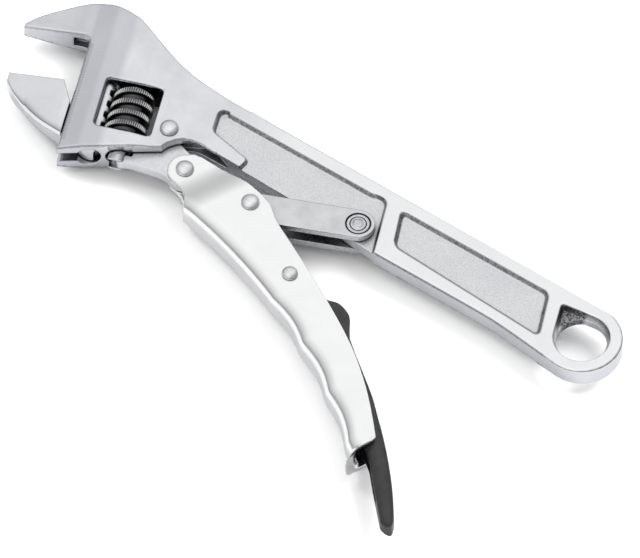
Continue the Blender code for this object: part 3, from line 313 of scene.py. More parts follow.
def add(tree, kind, inputs=(), **settings):
    """A new node with its inputs linked or set."""
    made = tree.nodes.new(kind)
    for key, value in settings.items():
        setattr(made, key, value)
    for key, value in dict(inputs).items():
        if isinstance(value, bpy.types.NodeSocket):
            tree.links.new(value, made.inputs[key])
        else:
            made.inputs[key].default_value = value
    return made


def math_of(tree, operation, first, second=0.0):
    return add(tree, "ShaderNodeMath", {0: first, 1: second}, operation=operation).outputs[0]


def product(tree, first, *others):
    for other in others:
        first = math_of(tree, "MULTIPLY", first, other)
    return first


def spread(tree, value, low, high, start=0.3, end=0.7):
    """Low up to the start, high from the end on."""
    return add(tree, "ShaderNodeMapRange", {"Value": value, "From Min": start, "From Max": end,
                                            "To Min": low, "To Max": high}).outputs["Result"]


def rising(tree, value, start, end):
    return spread(tree, value, 0.0, 1.0, start, end)


def falling(tree, value, start, end):
    return spread(tree, value, 1.0, 0.0, start, end)


def box_part(tree, value, low, high, soft=0.15 * MM):
    """1 between two values, with soft ends."""
    above = rising(tree, value, low - soft, low + soft)
    below = falling(tree, value, high - soft, high + soft)
    return product(tree, above, below)


def mixed(tree, factor, first, second):
    """A colour between two colours or colour sockets."""
    made = tree.nodes.new("ShaderNodeMix")
    made.data_type = "RGBA"
    tree.links.new(factor, made.inputs["Factor"])
    for key, value in (("A", first), ("B", second)):
        if isinstance(value, bpy.types.NodeSocket):
            tree.links.new(value, made.inputs[key])
        else:
            made.inputs[key].default_value = (*value, 1.0)
    return made.outputs["Result"]


def between(tree, factor, first, second):
    """A number between two numbers or sockets."""
    made = add(tree, "ShaderNodeMix", {"Factor": factor, "A": first, "B": second}, data_type="FLOAT")
    return made.outputs["Result"]


def noise(tree, scale, detail, roughness):
    return add(tree, "ShaderNodeTexNoise", {"Vector": place_of(tree), "Scale": scale, "Detail": detail,
                                            "Roughness": roughness}).outputs["Fac"]


def place_of(tree):
    return add(tree, "ShaderNodeTexCoord").outputs["Object"]


def parts_of(tree, vector):
    return add(tree, "ShaderNodeSeparateXYZ", {"Vector": vector}).outputs


def along_of(tree, vector, heading):
    """How far a vector runs in a direction of the tool's middle plane."""
    made = add(tree, "ShaderNodeVectorMath", {0: vector, 1: (*heading, 0)}, operation="DOT_PRODUCT")
    return made.outputs["Value"]


def level_of(tree):
    """Distance from the tool's middle plane."""
    return math_of(tree, "ABSOLUTE", parts_of(tree, place_of(tree))["Z"])


def flatness(tree):
    """1 on faces that lie flat, 0 on upright walls."""
    normal = add(tree, "ShaderNodeTexCoord").outputs["Normal"]
    return math_of(tree, "ABSOLUTE", parts_of(tree, normal)["Z"])


def slide_frame(tree):
    """Distances across and down the jaw's slide."""
    where = place_of(tree)
    across = math_of(tree, "SUBTRACT", along_of(tree, where, JAW_ACROSS), HEEL_ACROSS)
    return across, along_of(tree, where, JAW_DOWN)


# Where a finish changes

def open_air(tree, reach, start, end):
    """1 where a surface lies open, 0 deep in slots and corners and beside other parts, where painted shade darkens
    the colour.
    """
    shade = add(tree, "ShaderNodeAmbientOcclusion", {"Distance": reach}, samples=6)
    return rising(tree, shade.outputs["AO"], start, end)


def cast_floor(tree):
    """1 on the sunk floors and walls of the handle's recesses, 0 on its rims and outer sides."""
    sunk = falling(tree, level_of(tree), RIM_LEVEL - 0.9 * MM, RIM_LEVEL - 0.3 * MM)
    flat = rising(tree, flatness(tree), 0.15, 0.4)
    beyond = rising(tree, parts_of(tree, place_of(tree))["X"], *CAST_START)
    return product(tree, sunk, flat, beyond)


def cast_wall_shade(tree):
    """1 on the sloping walls of the handle's recesses, where painted shade darkens the speckled cast colour."""
    parts = parts_of(tree, place_of(tree))
    flat = flatness(tree)
    low_end, high_end = PANEL_FLOOR + 0.15 * MM, RIM_LEVEL - 0.35 * MM
    height = box_part(tree, level_of(tree), low_end, high_end, 0.1 * MM)
    sloping = product(tree, rising(tree, flat, 0.2, 0.4), falling(tree, flat, 0.78, 0.92))
    inside = box_part(tree, parts["Y"], *CAST_WALL_SPAN)
    beyond = rising(tree, parts["X"], *CAST_WALL_START)
    return product(tree, height, sloping, inside, beyond)


def polished_rim(tree):
    """Most of 1 on the handle's polished rims."""
    high = spread(tree, level_of(tree), 0.0, 0.75, RIM_LEVEL - 0.7 * MM, RIM_LEVEL - 0.2 * MM)
    return product(tree, high, rising(tree, parts_of(tree, place_of(tree))["X"], *RIM_SHINE_START))


def rough_pocket(tree):
    """1 in the rough corner of the pocket beside the hanging hole."""
    parts = parts_of(tree, place_of(tree))
    sunk = falling(tree, level_of(tree), RIM_LEVEL - 0.8 * MM, RIM_LEVEL - 0.4 * MM)
    across = box_part(tree, parts["X"], *ROUGH_ALONG, 0.6 * MM)
    up = box_part(tree, parts["Y"], *ROUGH_UP, 1.2 * MM)
    return product(tree, sunk, across, up)


def front_band_shade(tree):
    """1 on the head's band in front of its soft ridge, painted darker and bluer in clouds as shade, fading out
    along the fixed jaw.
    """
    across, _ = slide_frame(tree)
    cloud = spread(tree, noise(tree, 40.0, 3.0, 0.5), 0.55, 1.0)
    return product(tree, cloud, rising(tree, across, *BAND_FADE), falling(tree, across, *BAND_RIDGE))


def window_wall_shade(tree):
    """1 on the walls of the worm's window, which are painted near black as shade."""
    across, down = slide_frame(tree)
    inside = product(tree, box_part(tree, across, *WINDOW[0]), box_part(tree, down, *WINDOW[1]))
    return product(tree, inside, falling(tree, level_of(tree), *WINDOW_EDGE))


def scale_marks(tree):
    """1 on the fine lines cut across the front edge of the head, beside the slide."""
    across, down = slide_frame(tree)
    phase = math_of(tree, "FRACT", math_of(tree, "DIVIDE", down, MARK_PITCH))
    line = math_of(tree, "LESS_THAN", phase, MARK_SHARE)
    front = math_of(tree, "LESS_THAN", across, MARK_LENGTH)
    below = math_of(tree, "GREATER_THAN", down, MARK_SPAN[0])
    above = math_of(tree, "LESS_THAN", down, MARK_SPAN[1])
    return product(tree, line, front, below, above)


def from_worm(tree):
    return add(tree, "ShaderNodeVectorMath", {0: place_of(tree), 1: (*WORM_CENTRE, 0)},
               operation="SUBTRACT").outputs[0]


def knurl_ridges(tree):
    """1 on the ridges of the worm's knurl, 0 between them."""
    away = from_worm(tree)
    angle = math_of(tree, "ARCTAN2", parts_of(tree, away)["Z"], along_of(tree, away, JAW_ACROSS))
    wave = math_of(tree, "COSINE", math_of(tree, "MULTIPLY", angle, KNURL_COUNT))
    return rising(tree, wave, -0.4, 0.6)


def thread_crests(tree):
    """1 on the worm's knurled crests, 0 in its flanks and root."""
    away = from_worm(tree)
    along = along_of(tree, away, JAW_DOWN)
    length = add(tree, "ShaderNodeVectorMath", {0: away}, operation="LENGTH").outputs["Value"]
    square = math_of(tree, "SUBTRACT", product(tree, length, length), product(tree, along, along))
    radius = math_of(tree, "SQRT", square)
    return rising(tree, radius, WORM_RADIUS - 0.75 * MM, WORM_RADIUS - 0.28 * MM)


# Finishes

def body_details(tree, colour, gloss, bumps):
    """Adds the body's cast recesses, polished rims, marks and the pocket's dark rough corner, and painted shade on
    the head's band and on the recess and window walls.
    """
    cast = cast_floor(tree)
    grain = math_of(tree, "MULTIPLY", noise(tree, CAST_GRAIN, 3.0, 0.7), CAST_HEIGHT)
    bumps = math_of(tree, "ADD", bumps, product(tree, grain, cast))
    gloss = math_of(tree, "ADD", gloss, math_of(tree, "MULTIPLY", cast, CAST_ROUGHNESS))
    sand = spread(tree, noise(tree, SAND_GRAIN, 2.0, 0.75), 0.0, 1.0, 0.36, 0.64)
    colour = mixed(tree, math_of(tree, "MULTIPLY", cast, 0.75), colour, mixed(tree, sand, *CAST_FLOOR))
    # Painted shade on the head's band in front of its ridge
    colour = mixed(tree, front_band_shade(tree), colour, BAND_SHADE)
    colour = mixed(tree, polished_rim(tree), colour, RIM_COLOUR)
    colour = mixed(tree, scale_marks(tree), colour, MARK_COLOUR)
    speckle = noise(tree, SPECKLE_GRAIN, 2.0, 0.7)
    # Painted shade on the recess and window walls, and the pocket corner's own dark rough colour
    walls = ((cast_wall_shade, CAST_WALL_SHADE, 0.4, 0.6), (window_wall_shade, WINDOW_WALL_SHADE, 0.45, 0.7),
             (rough_pocket, POCKET_DIRT, 0.4, 0.62))
    for mask, colours, start, end in walls:
        grime_and_shade = mixed(tree, rising(tree, speckle, start, end), *colours)
        colour = mixed(tree, mask(tree), colour, grime_and_shade)
    return colour, gloss, bumps


def worm_details(tree, colour, gloss, bumps):
    """Adds painted shade: dark gaps between the ridges of the worm's knurl, and dark flanks and root on its
    thread.
    """
    colour = mixed(tree, knurl_ridges(tree), KNURL_GAP_SHADE, colour)
    colour = mixed(tree, thread_crests(tree), THREAD_FLANK_SHADE, colour)
    return colour, gloss, bumps


def metal(name, dark, light, rough, cloud_scale, relief, corner_shade=None, details=None):
    """A plated or bare metal: clouding of colour and gloss, a fine relief, and painted shade in its depths, where
    it is also rougher.
    """
    made, tree, shader = new_material(name)
    shader.inputs["Metallic"].default_value = 1.0
    cloud = noise(tree, cloud_scale, 5.0, 0.65)
    colour = mixed(tree, spread(tree, cloud, 0.0, 1.0), dark, light)
    gloss = spread(tree, cloud, rough[1], rough[0])
    height, scale = relief
    bumps = math_of(tree, "MULTIPLY", noise(tree, scale, 3.0, 0.6), height)
    if details:
        colour, gloss, bumps = details(tree, colour, gloss, bumps)
    if corner_shade:
        reach, start, end, shade_grey = corner_shade
        # Painted shade: the colour darkens and the metal grows rougher deep in slots, corners and beside other
        # parts
        unshaded = open_air(tree, reach, start, end)
        colour = mixed(tree, unshaded, (shade_grey, shade_grey, shade_grey * SHADE_BLUE), colour)
        gloss = between(tree, unshaded, CORNER_ROUGHNESS, gloss)
    finished(tree, shader, colour, gloss, bumps)
    return made


def painted(name, colour, worn, rough, relief):
    """A dark half gloss coat with a fine relief, paler where hands wear it."""
    made, tree, shader = new_material(name)
    shader.inputs["Metallic"].default_value = 0.0
    shader.inputs["Coat Weight"].default_value = 0.08
    shader.inputs["Coat Roughness"].default_value = 0.3
    cloud = noise(tree, 180.0, 5.0, 0.7)
    height, scale = relief
    bumps = math_of(tree, "MULTIPLY", noise(tree, scale, 3.0, 0.7), height)
    coat = mixed(tree, spread(tree, cloud, 0.0, 1.0), colour, worn)
    finished(tree, shader, coat, spread(tree, cloud, rough[1], rough[0]), bumps)
    return made


def finished(tree, shader, colour, gloss, bumps):
    """Links a finish's colour, roughness and relief to its shader."""
    bump = add(tree, "ShaderNodeBump", {"Strength": 1.0, "Distance": 1.0, "Height": bumps})
    tree.links.new(colour, shader.inputs["Base Color"])
    tree.links.new(gloss, shader.inputs["Roughness"])
    tree.links.new(bump.outputs["Normal"], shader.inputs["Normal"])


FINISHES = {
    "body_chrome": metal("body_chrome", (0.66, 0.675, 0.71), (0.78, 0.795, 0.82), (0.17, 0.27), 55,
                         (0.006 * MM, 900), SLOT_SHADE, body_details),
    "jaw_chrome": metal("jaw_chrome", (0.73, 0.745, 0.775), (0.82, 0.835, 0.86), (0.14, 0.22), 55,
                        (0.004 * MM, 1100), SLOT_SHADE),
    "worm_steel": metal("worm_steel", (0.60, 0.60, 0.61), (0.80, 0.80, 0.81), (0.20, 0.30), 500,
                        (0.01 * MM, 2500), WORM_SHADE, worm_details),
    "pin_steel": metal("pin_steel", (0.52, 0.53, 0.55), (0.74, 0.75, 0.77), (0.16, 0.30), 600,
                       (0.02 * MM, 1800), FAINT_SHADE),
    "spring_steel": metal("spring_steel", (0.40, 0.41, 0.42), (0.52, 0.53, 0.54), (0.25, 0.35), 400,
                          (0.005 * MM, 3000)),
    "rocker_steel": metal("rocker_steel", (0.70, 0.71, 0.73), (0.82, 0.83, 0.85), (0.24, 0.36), 500,
                          (0.02 * MM, 1300), FAINT_SHADE),
    "rivet_steel": metal("rivet_steel", (0.72, 0.73, 0.75), (0.93, 0.935, 0.94), (0.24, 0.36), 700,
                         (0.05 * MM, 1000), FAINT_SHADE),
    "link_steel": metal("link_steel", (0.60, 0.61, 0.62), (0.74, 0.75, 0.76), (0.20, 0.32), 120,
                        (0.008 * MM, 1500), SLOT_SHADE),
    "lever_satin": metal("lever_satin", (0.93, 0.935, 0.94), (0.97, 0.972, 0.975), (0.20, 0.27), 60,
                         (0.003 * MM, 1500), FAINT_SHADE),
    "release_black": painted("release_black", (0.010, 0.010, 0.011), (0.022, 0.022, 0.023), (0.26, 0.38),
                             (0.02 * MM, 1400)),
}


# Meshes and their vertices

def placed(name, mesh):
    piece = bpy.data.objects.new(name, mesh)
    bpy.context.scene.collection.objects.link(piece)
    return piece


def dressed(piece, node):
    """The piece takes its finish and body from the node it stands for."""
    piece.data.materials.clear()
    piece.data.materials.append(FINISHES[SLOT_OF[node]])
    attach(piece, BODY_OF[node])
    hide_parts(node)


def turned_piece(name, work, node):
    """A piece from a bmesh, smooth except at its sharp edges."""
    bmesh.ops.recalc_face_normals(work, faces=work.faces)
    mesh = bpy.data.meshes.new(name)
    work.to_mesh(mesh)
    work.free()
    mesh.shade_smooth()
    mesh.set_sharp_from_angle(angle=SHARP_ANGLE)
    dressed(placed(name, mesh), node)


def applied(piece):
    """Works the piece's modifiers into its mesh."""
    seen = piece.evaluated_get(bpy.context.evaluated_depsgraph_get())
    mesh = bpy.data.meshes.new_from_object(seen)
    piece.modifiers.clear()
    piece.vertex_groups.clear()
    piece.data = mesh


def smoothed(piece, rounds, group=""):
    """Wears the piece round, everywhere or by the weights of a vertex group."""
    wear = piece.modifiers.new("wear", "SMOOTH")
    wear.factor = 0.5
    wear.iterations = rounds
    wear.vertex_group = group
    applied(piece)


def softened(piece, point, reach, rounds):
    """Wears the piece round near a point, with weights that grow from 0 at the reach to 1."""
    group = piece.vertex_groups.new(name="soft")
    for vertex in piece.data.vertices:
        away = (vertex.co - point).length
        if away < reach:
            group.add([vertex.index], min(1.0, 2 * (1 - away / reach)), "REPLACE")
    smoothed(piece, rounds, "soft")


def places_of(mesh):
    places = np.empty(len(mesh.vertices) * 3)
    mesh.vertices.foreach_get("co", places)
    return places.reshape(-1, 3)


def normals_of(mesh):
    normals = np.empty(len(mesh.vertices) * 3)
    mesh.vertices.foreach_get("normal", normals)
    return normals.reshape(-1, 3)


def put_places(mesh, places):
    mesh.vertices.foreach_set("co", places.ravel())
    mesh.update()


def even_vertices(mesh):
    """Vertices of broad, gently bent faces that lie some rings of edges away from any real edge."""
    normals = normals_of(mesh)
    ends = np.empty(len(mesh.edges) * 2, dtype=np.int64)
    mesh.edges.foreach_get("vertices", ends)
    first, second = ends.reshape(-1, 2).T
    bent = np.einsum("ij,ij->i", normals[first], normals[second]) < math.cos(EVEN_BEND)
    near = np.zeros(len(mesh.vertices), dtype=bool)
    near[first[bent]] = True
    near[second[bent]] = True
    for _ in range(EVEN_MARGIN):
        reached = near[first] | near[second]
        near[first[reached]] = True
        near[second[reached]] = True
    return np.flatnonzero(~near)


def eased(share):
    """A share from 0 to 1 that starts and ends gently."""
    share = np.clip(share, 0.0, 1.0)
    return share * share * (3 - 2 * share)


def across_slide(places):
    return places[:, 0] * JAW_ACROSS.x + places[:, 1] * JAW_ACROSS.y - HEEL_ACROSS


def inside_rounded(x, y, corners, radius):
    """How far points lie inside a convex outline, run anticlockwise, whose corners are rounded."""
    lack = np.zeros_like(x)
    for (ax, ay), (bx, by) in zip(corners, corners[1:] + corners[:1]):
        run = math.hypot(bx - ax, by - ay)
        depth = ((bx - ax) * (y - ay) - (by - ay) * (x - ax)) / run
        lack += np.maximum(0.0, radius - depth) ** 2
    return radius - np.sqrt(lack)


def inside_teardrop(x, y, centre, radius, corner, corner_radius):
    """How far points lie inside the band round a large and a small circle."""
    run = (corner - centre).length
    heading = (corner - centre) / run
    along = (x - centre.x) * heading.x + (y - centre.y) * heading.y
    aside = np.abs((x - centre.x) * heading.y - (y - centre.y) * heading.x)
    lean = (radius - corner_radius) / run
    rise = math.sqrt(1 - lean * lean)
    turn = along * rise - aside * lean
    body = radius - aside * rise - along * lean
    large = radius - np.hypot(along, aside)
    small = corner_radius - np.hypot(along - run, aside)
    return np.where(turn < 0, large, np.where(turn > rise * run, small, body))


def rounded_to_walls(places, walls, chosen, radius, top):
    """Lowers the chosen vertices of flat faces near the walls, so that the edge between them is a round."""
    tree = KDTree(len(walls))
    for index in walls:
        tree.insert((places[index, 0], places[index, 1], 0), int(index))
    tree.balance()
    for index in chosen:
        near = tree.find((places[index, 0], places[index, 1], 0))[2]
        short = max(0.0, radius[index] - near)
        cap = top[index] - radius[index] + math.sqrt(radius[index] ** 2 - short ** 2)
        places[index, 2] = math.copysign(min(abs(places[index, 2]), cap), places[index, 2])


# The body

def handle_outline(places):
    """Makes the eye truly round and leads the lower edge into it. Gives the distances inside the outline
    and from the eye's centre."""
    x, y, _ = places.T
    from_eye = np.hypot(x - EYE_CENTRE.x, y - EYE_CENTRE.y)
    bar = np.where(x < EYE_CENTRE.x, np.minimum(HANDLE_TOP - y, y - HANDLE_BOTTOM), -1.0)
    eye = EYE_RADIUS - from_eye
    edge = np.maximum(bar, eye)
    on_eye = (np.abs(eye) < EYE_REACH) & (eye > bar)
    growth = np.where(on_eye, EYE_RADIUS / np.maximum(from_eye, HOLE_RADIUS), 1.0)
    places[:, 0] = EYE_CENTRE.x + (x - EYE_CENTRE.x) * growth
    places[:, 1] = EYE_CENTRE.y + (y - EYE_CENTRE.y) * growth
    past = x - LEAN_START
    line = HANDLE_BOTTOM - (past + np.hypot(past, LEAN_SOFT)) / 2 * LEAN_SLOPE
    arc = EYE_CENTRE.y - np.sqrt(np.maximum(EYE_RADIUS ** 2 - (x - EYE_CENTRE.x) ** 2, 0.0))
    leaning = (y < HANDLE_MIDDLE) & (x > LEAN_SPAN[0]) & (x < LEAN_SPAN[1])
    gain = np.where(leaning, np.maximum(np.minimum(HANDLE_BOTTOM, arc) - line, 0.0), 0.0)
    moved = gain * (1 - np.clip(edge / LEAN_GIVE, 0.0, 1.0)) ** 2
    moved = np.where(gain > 0, np.minimum(moved, y - line), 0.0)
    places[:, 1] -= moved
    return edge + gain - moved, from_eye


def sunk_by(depth, floor_level, width):
    """How far a recess lies below the rims, by the distance inside its outline."""
    return (RIM_LEVEL - floor_level) * eased(depth / width)


def sink_recesses(x, y, size, edge, from_eye):
    """The second panel, the pocket at the hanging hole and the upper wall of the first panel."""
    panel = inside_rounded(x, y, PANEL_TWO, PANEL_ROUND)
    pocket = inside_teardrop(x, y, EYE_CENTRE, POCKET_RADIUS, POCKET_CORNER, POCKET_ROUND)
    level = np.full_like(x, RIM_LEVEL)
    level -= sunk_by(panel, PANEL_FLOOR, WALL_WIDTH)
    level -= sunk_by(pocket, POCKET_FLOOR, POCKET_RADIUS - HOLE_RADIUS)
    lip = (from_eye > HOLE_RADIUS + HOLE_LIP[0]) & (from_eye < HOLE_RADIUS + HOLE_LIP[1])
    size[lip] = np.minimum(size, POCKET_FLOOR)[lip]
    behind = x > PANEL_TWO_START[0] + (PANEL_TWO_START[1] - y) * PANEL_TWO_LEAN
    chosen = (edge > RIM_EDGE) & (from_eye > HOLE_RADIUS + HOLE_MARGIN) & behind
    size[chosen] = level[chosen]
    start, end = PANEL_ONE_SPAN
    first = (x > start) & (x < end) & (y > PANEL_ONE_LOW) & (edge > RIM_EDGE) & (size > PANEL_ONE_LEVEL)
    first &= x - TONGUE_FOOT > (PANEL_ONE_TOP - y) * TONGUE_LEAN
    slope = RIM_LEVEL - sunk_by(PANEL_ONE_TOP - y, PANEL_FLOOR, WALL_WIDTH)
    blend = eased((end - x) / PANEL_ONE_BLEND)
    size[first] = (size + (slope - size) * blend)[first]


def round_rims(x, size, edge):
    """The rounded edges of the handle's rims, which run out towards the neck."""
    radius = RIM_ROUND * eased((x - RIM_START) / RIM_BLEND)
    short = np.clip(radius - np.maximum(edge, 0.0), 0.0, None)
    cap = RIM_LEVEL - radius + np.sqrt(np.maximum(radius ** 2 - short ** 2, 0.0))
    handle = x > RIM_START
    size[handle] = np.minimum(size, cap)[handle]


def round_head(mesh, across):
    """The head's outline and window worn round."""
    places = places_of(mesh)
    top = np.interp(across, *zip(*HEAD_LEVELS))
    near_top = (np.abs(places[:, 2]) > top - HEAD_EDGE_DEPTH) & (places[:, 0] < HEAD_END)
    steep = np.abs(normals_of(mesh)[:, 2]) < HEAD_WALL
    radius = np.full_like(top, HEAD_ROUND)
    rounded_to_walls(places, np.flatnonzero(steep & near_top), np.flatnonzero(near_top), radius, top)
    put_places(mesh, places)


def body_relief(piece):
    """The handle's outline, recesses and rims, and the head's soft slope to the neck and worn edges."""
    places = places_of(piece.data)
    size = np.abs(places[:, 2])
    edge, from_eye = handle_outline(places)
    x, y, z = places.T
    sink_recesses(x, y, size, edge, from_eye)
    round_rims(x, size, edge)
    across = across_slide(places)
    fall = eased((across - HEAD_SLOPE[0]) / (HEAD_SLOPE[1] - HEAD_SLOPE[0]))
    places[:, 2] = np.sign(z) * np.minimum(size, HEAD_LEVEL - (HEAD_LEVEL - NECK_LEVEL) * fall)
    put_places(piece.data, places)
    round_head(piece.data, across)


# The moving jaw

def jaw_relief(piece):
    """The moving jaw's underside, rounded broadly into its faces."""
    places = places_of(piece.data)
    normals = normals_of(piece.data)
    across = across_slide(places)
    nose = across < JAW_NOSE
    face = nose & (normals[:, 2] > JAW_FLAT) & (across > JAW_FACE_START)
    rate, base = np.polyfit(across[face], np.abs(places[face, 2]), 1)
    facing_down = normals[:, 0] * JAW_DOWN.x + normals[:, 1] * JAW_DOWN.y
    wall = (across < JAW_WALL_END) & (np.abs(normals[:, 2]) < JAW_WALL) & (facing_down > JAW_UNDERSIDE)
    radius = JAW_ROUND * np.clip((across - JAW_TIP) / JAW_ROUND_RUN, JAW_ROUND_LEAST, 1.0)
    rounded_to_walls(places, np.flatnonzero(wall), np.flatnonzero(nose), radius, base + rate * across)
    put_places(piece.data, places)


# The lever and the release lever

def lever_frame(places):
    """Distances along the lever and above the line through its rivet."""
    x = places[:, 0] - LEVER_START.x
    y = places[:, 1] - LEVER_START.y
    return x * LEVER_HEADING.x + y * LEVER_HEADING.y, y * LEVER_HEADING.x - x * LEVER_HEADING.y


def from_lever_frame(places, along, rise):
    places[:, 0] = LEVER_START.x + along * LEVER_HEADING.x - rise * LEVER_HEADING.y
    places[:, 1] = LEVER_START.y + along * LEVER_HEADING.y + rise * LEVER_HEADING.x


def half_lever(along, neck):
    """Half the lever's width, which grows along its neck."""
    return LEVER_NARROW + (LEVER_WIDE - LEVER_NARROW) * eased((along - neck[0]) / (neck[1] - neck[0]))


def lever_spine(along):
    """The lever's foot line: a shallow arch with hollows for four fingers."""
    arch = -SPINE_DEPTH - (along - ARCH_MIDDLE) ** 2 / (2 * ARCH_RADIUS)
    phase = (along - FINGER_START) / FINGER_PITCH
    wave = np.sqrt(np.sin(np.pi * phase) ** 2 + FINGER_SOFT) - FINGER_CUT
    hollow = np.maximum(wave, 0) * FINGER_DEPTH / FINGER_FULL
    return arch + np.where((phase > 0) & (phase < FINGERS), hollow, 0)


def lever_relief(piece):
    """The lever's outside made true, a gentler swell from the neck to the grip, and a shorter end."""
    places = places_of(piece.data)
    along, rise = lever_frame(places)
    height = np.abs(places[:, 2])
    wide = half_lever(along, NECK_SOLID)
    foot = lever_spine(along)
    bend = np.minimum(LEVER_BEND, wide - LEAST_FLAT)
    out = height - (wide - bend)
    low = bend - (rise - foot)
    turning = (out > 0) & (low > 0)
    reach = np.where(turning, np.hypot(out, low), np.maximum(out, low))
    outer = (np.abs(reach - bend) < LEVER_SKIN) & (along > LEVER_SKIN_START)
    scale = bend / np.maximum(reach, 1e-6)
    on_bend = outer & turning
    on_cheek = outer & (low <= 0)
    on_spine = outer & (out <= 0) & (low > 0)
    height = np.where(on_bend, wide - bend + out * scale, np.where(on_cheek, wide, height))
    rise = np.where(on_bend, foot + bend - low * scale, np.where(on_spine, foot, rise))
    places[:, 2] = np.sign(places[:, 2]) * height * half_lever(along, NECK_SOFT) / wide
    along = np.where(along > LEVER_END, LEVER_END + (along - LEVER_END) * END_SQUEEZE, along)
    from_lever_frame(places, along, rise)
    put_places(piece.data, places)
    end = LEVER_START + LEVER_HEADING * LEVER_END - LEVER_SIDE * END_DEPTH
    softened(piece, end.to_3d(), END_REACH, END_ROUNDS)


def tail_edges(along, rise):
    """The upper and lower edge of the tail beside each vertex."""
    start, end = TAIL
    bins = np.clip(((along - start) / (end - start) * TAIL_STATIONS).astype(int), 0, TAIL_STATIONS - 1)
    tail = along > start
    top = np.full(TAIL_STATIONS, -1.0)
    foot = np.full(TAIL_STATIONS, 1.0)
    np.maximum.at(top, bins[tail], rise[tail])
    np.minimum.at(foot, bins[tail], rise[tail])
    last = bins[tail].max()
    top[last + 1:] = top[last]
    foot[last + 1:] = foot[last]
    stations = start + (np.arange(TAIL_STATIONS) + 0.5) / TAIL_STATIONS * (end - start)
    return np.interp(along, stations, top), np.interp(along, stations, foot)


def tail_relief(piece):
    """The release lever's tail: crowned across, wide at the lever's end and narrow at the tip."""
    places = places_of(piece.data)
    along, rise = lever_frame(places)
    top, foot = tail_edges(along, rise)
    tail = along > TAIL[0]
    share = eased((along - TAIL[0]) / TAIL_BLEND)
    reach = np.clip((along - TAIL[0]) / (along.max() - TAIL[0]), 0, 1)
    width = 1 + share * (TAIL_SWELL_SHARE - TAIL_TAPER_SHARE * reach ** 1.4)
    half = np.maximum((top - foot) / 2, 1 * MM)
    off = np.clip((rise - (top + foot) / 2) / half, -1, 1)
    crown = 1 - share * (TAIL_CROWN_SHARE * off ** 2 + TAIL_THIN_SHARE * reach ** 4)
    places[:, 2] *= np.where(tail, crown, 1.0)
    from_lever_frame(places, along, np.where(tail, top + (rise - top) * width, rise))
    put_places(piece.data, places)
    tip = min((vertex.co for vertex in piece.data.vertices), key=lambda place: place.y)
    softened(piece, Vector((tip.x, tip.y, 0)), TIP_REACH, TIP_ROUNDS)


# The axle's end

def axle_fork():
    """The axle's broad end below the head, slotted for the rocker's nose."""
    work = bmesh.new()
    axis = JAW_DOWN.to_3d()
    across = JAW_ACROSS.to_3d()
    foot = across * (AXLE_ACROSS + HEEL_ACROSS)
    start = math.asin(FORK_SLOT / FORK_RADIUS)
    angles = [start + (math.pi - 2 * start) * i / FORK_STEPS for i in range(FORK_STEPS + 1)]
    for side in (1, -1):
        ring = [(FORK_RADIUS * math.cos(a), side * FORK_RADIUS * math.sin(a)) for a in angles]
        upper, lower = [[work.verts.new(foot + across * p + Vector((0, 0, z)) + axis * down) for p, z in ring]
                        for down in FORK_SPAN]
        for i in range(len(ring)):
            after = (i + 1) % len(ring)
            work.faces.new((upper[i], upper[after], lower[after], lower[i]))
        work.faces.new(upper)
        work.faces.new(lower)
    bmesh.ops.recalc_face_normals(work, faces=work.faces)
    return work


# Pieces drawn again from their solids

SHAPING = {"wrench_body": body_relief, "movable_jaw": jaw_relief, "lever_handle": lever_relief,
           "release_lever": tail_relief}
ADDED = {"worm_axle": axle_fork}


def solid_of(node):
    """A copy of the node's mesh, with what its skin adds."""
    mesh = NODES[node].data.copy()
    if node in ADDED:
        work = ADDED[node]()
        work.from_mesh(mesh)
        work.to_mesh(mesh)
        work.free()
    return mesh


def evened(piece, rounds):
    """Smooths the broad faces and leaves the edges as they are."""
    group = piece.vertex_groups.new(name="broad")
    group.add(even_vertices(piece.data).tolist(), 1.0, "REPLACE")
    smoothed(piece, rounds, "broad")


def forged(node, voxel, rounding, evening, keep):
    """A node's solid drawn again in small even faces, its edges worn round and its broad faces evened."""
    piece = placed(node + "_skin", solid_of(node))
    grid = piece.modifiers.new("even faces", "REMESH")
    grid.mode = "VOXEL"
    grid.voxel_size = voxel
    smoothed(piece, rounding)
    if evening:
        evened(piece, evening)
    if node in SHAPING:
        SHAPING[node](piece)
    if keep < 1.0:
        fewer = piece.modifiers.new("fewer faces", "DECIMATE")
        fewer.ratio = keep
        applied(piece)
    piece.data.shade_smooth()
    if node in BROAD_FACED:
        level = piece.modifiers.new("level", "WEIGHTED_NORMAL")
        level.mode = "FACE_AREA"
        level.weight = 50
        applied(piece)
    dressed(piece, node)


# Turned pieces

def ring_places(radius, height):
    angles = (2 * math.pi * i / TURN_SIDES for i in range(TURN_SIDES))
    return [Vector((radius * math.cos(a), radius * math.sin(a), height)) for a in angles]


def lathe(work, centre, profile):
    """Adds a turned surface from points (radius, height), the first and last on the axis."""
    rows = []
    for radius, height in profile:
        places = ring_places(radius, height) if radius else [Vector((0, 0, height))]
        rows.append([work.verts.new(centre + place) for place in places])
    for upper, lower in zip(rows, rows[1:]):
        for i in range(TURN_SIDES):
            after = (i + 1) % TURN_SIDES
            if len(upper) == 1:
                work.faces.new((upper[0], lower[i], lower[after]))
            elif len(lower) == 1:
                work.faces.new((upper[i], lower[0], upper[after]))
            else:
                work.faces.new((upper[i], lower[i], lower[after], upper[after]))


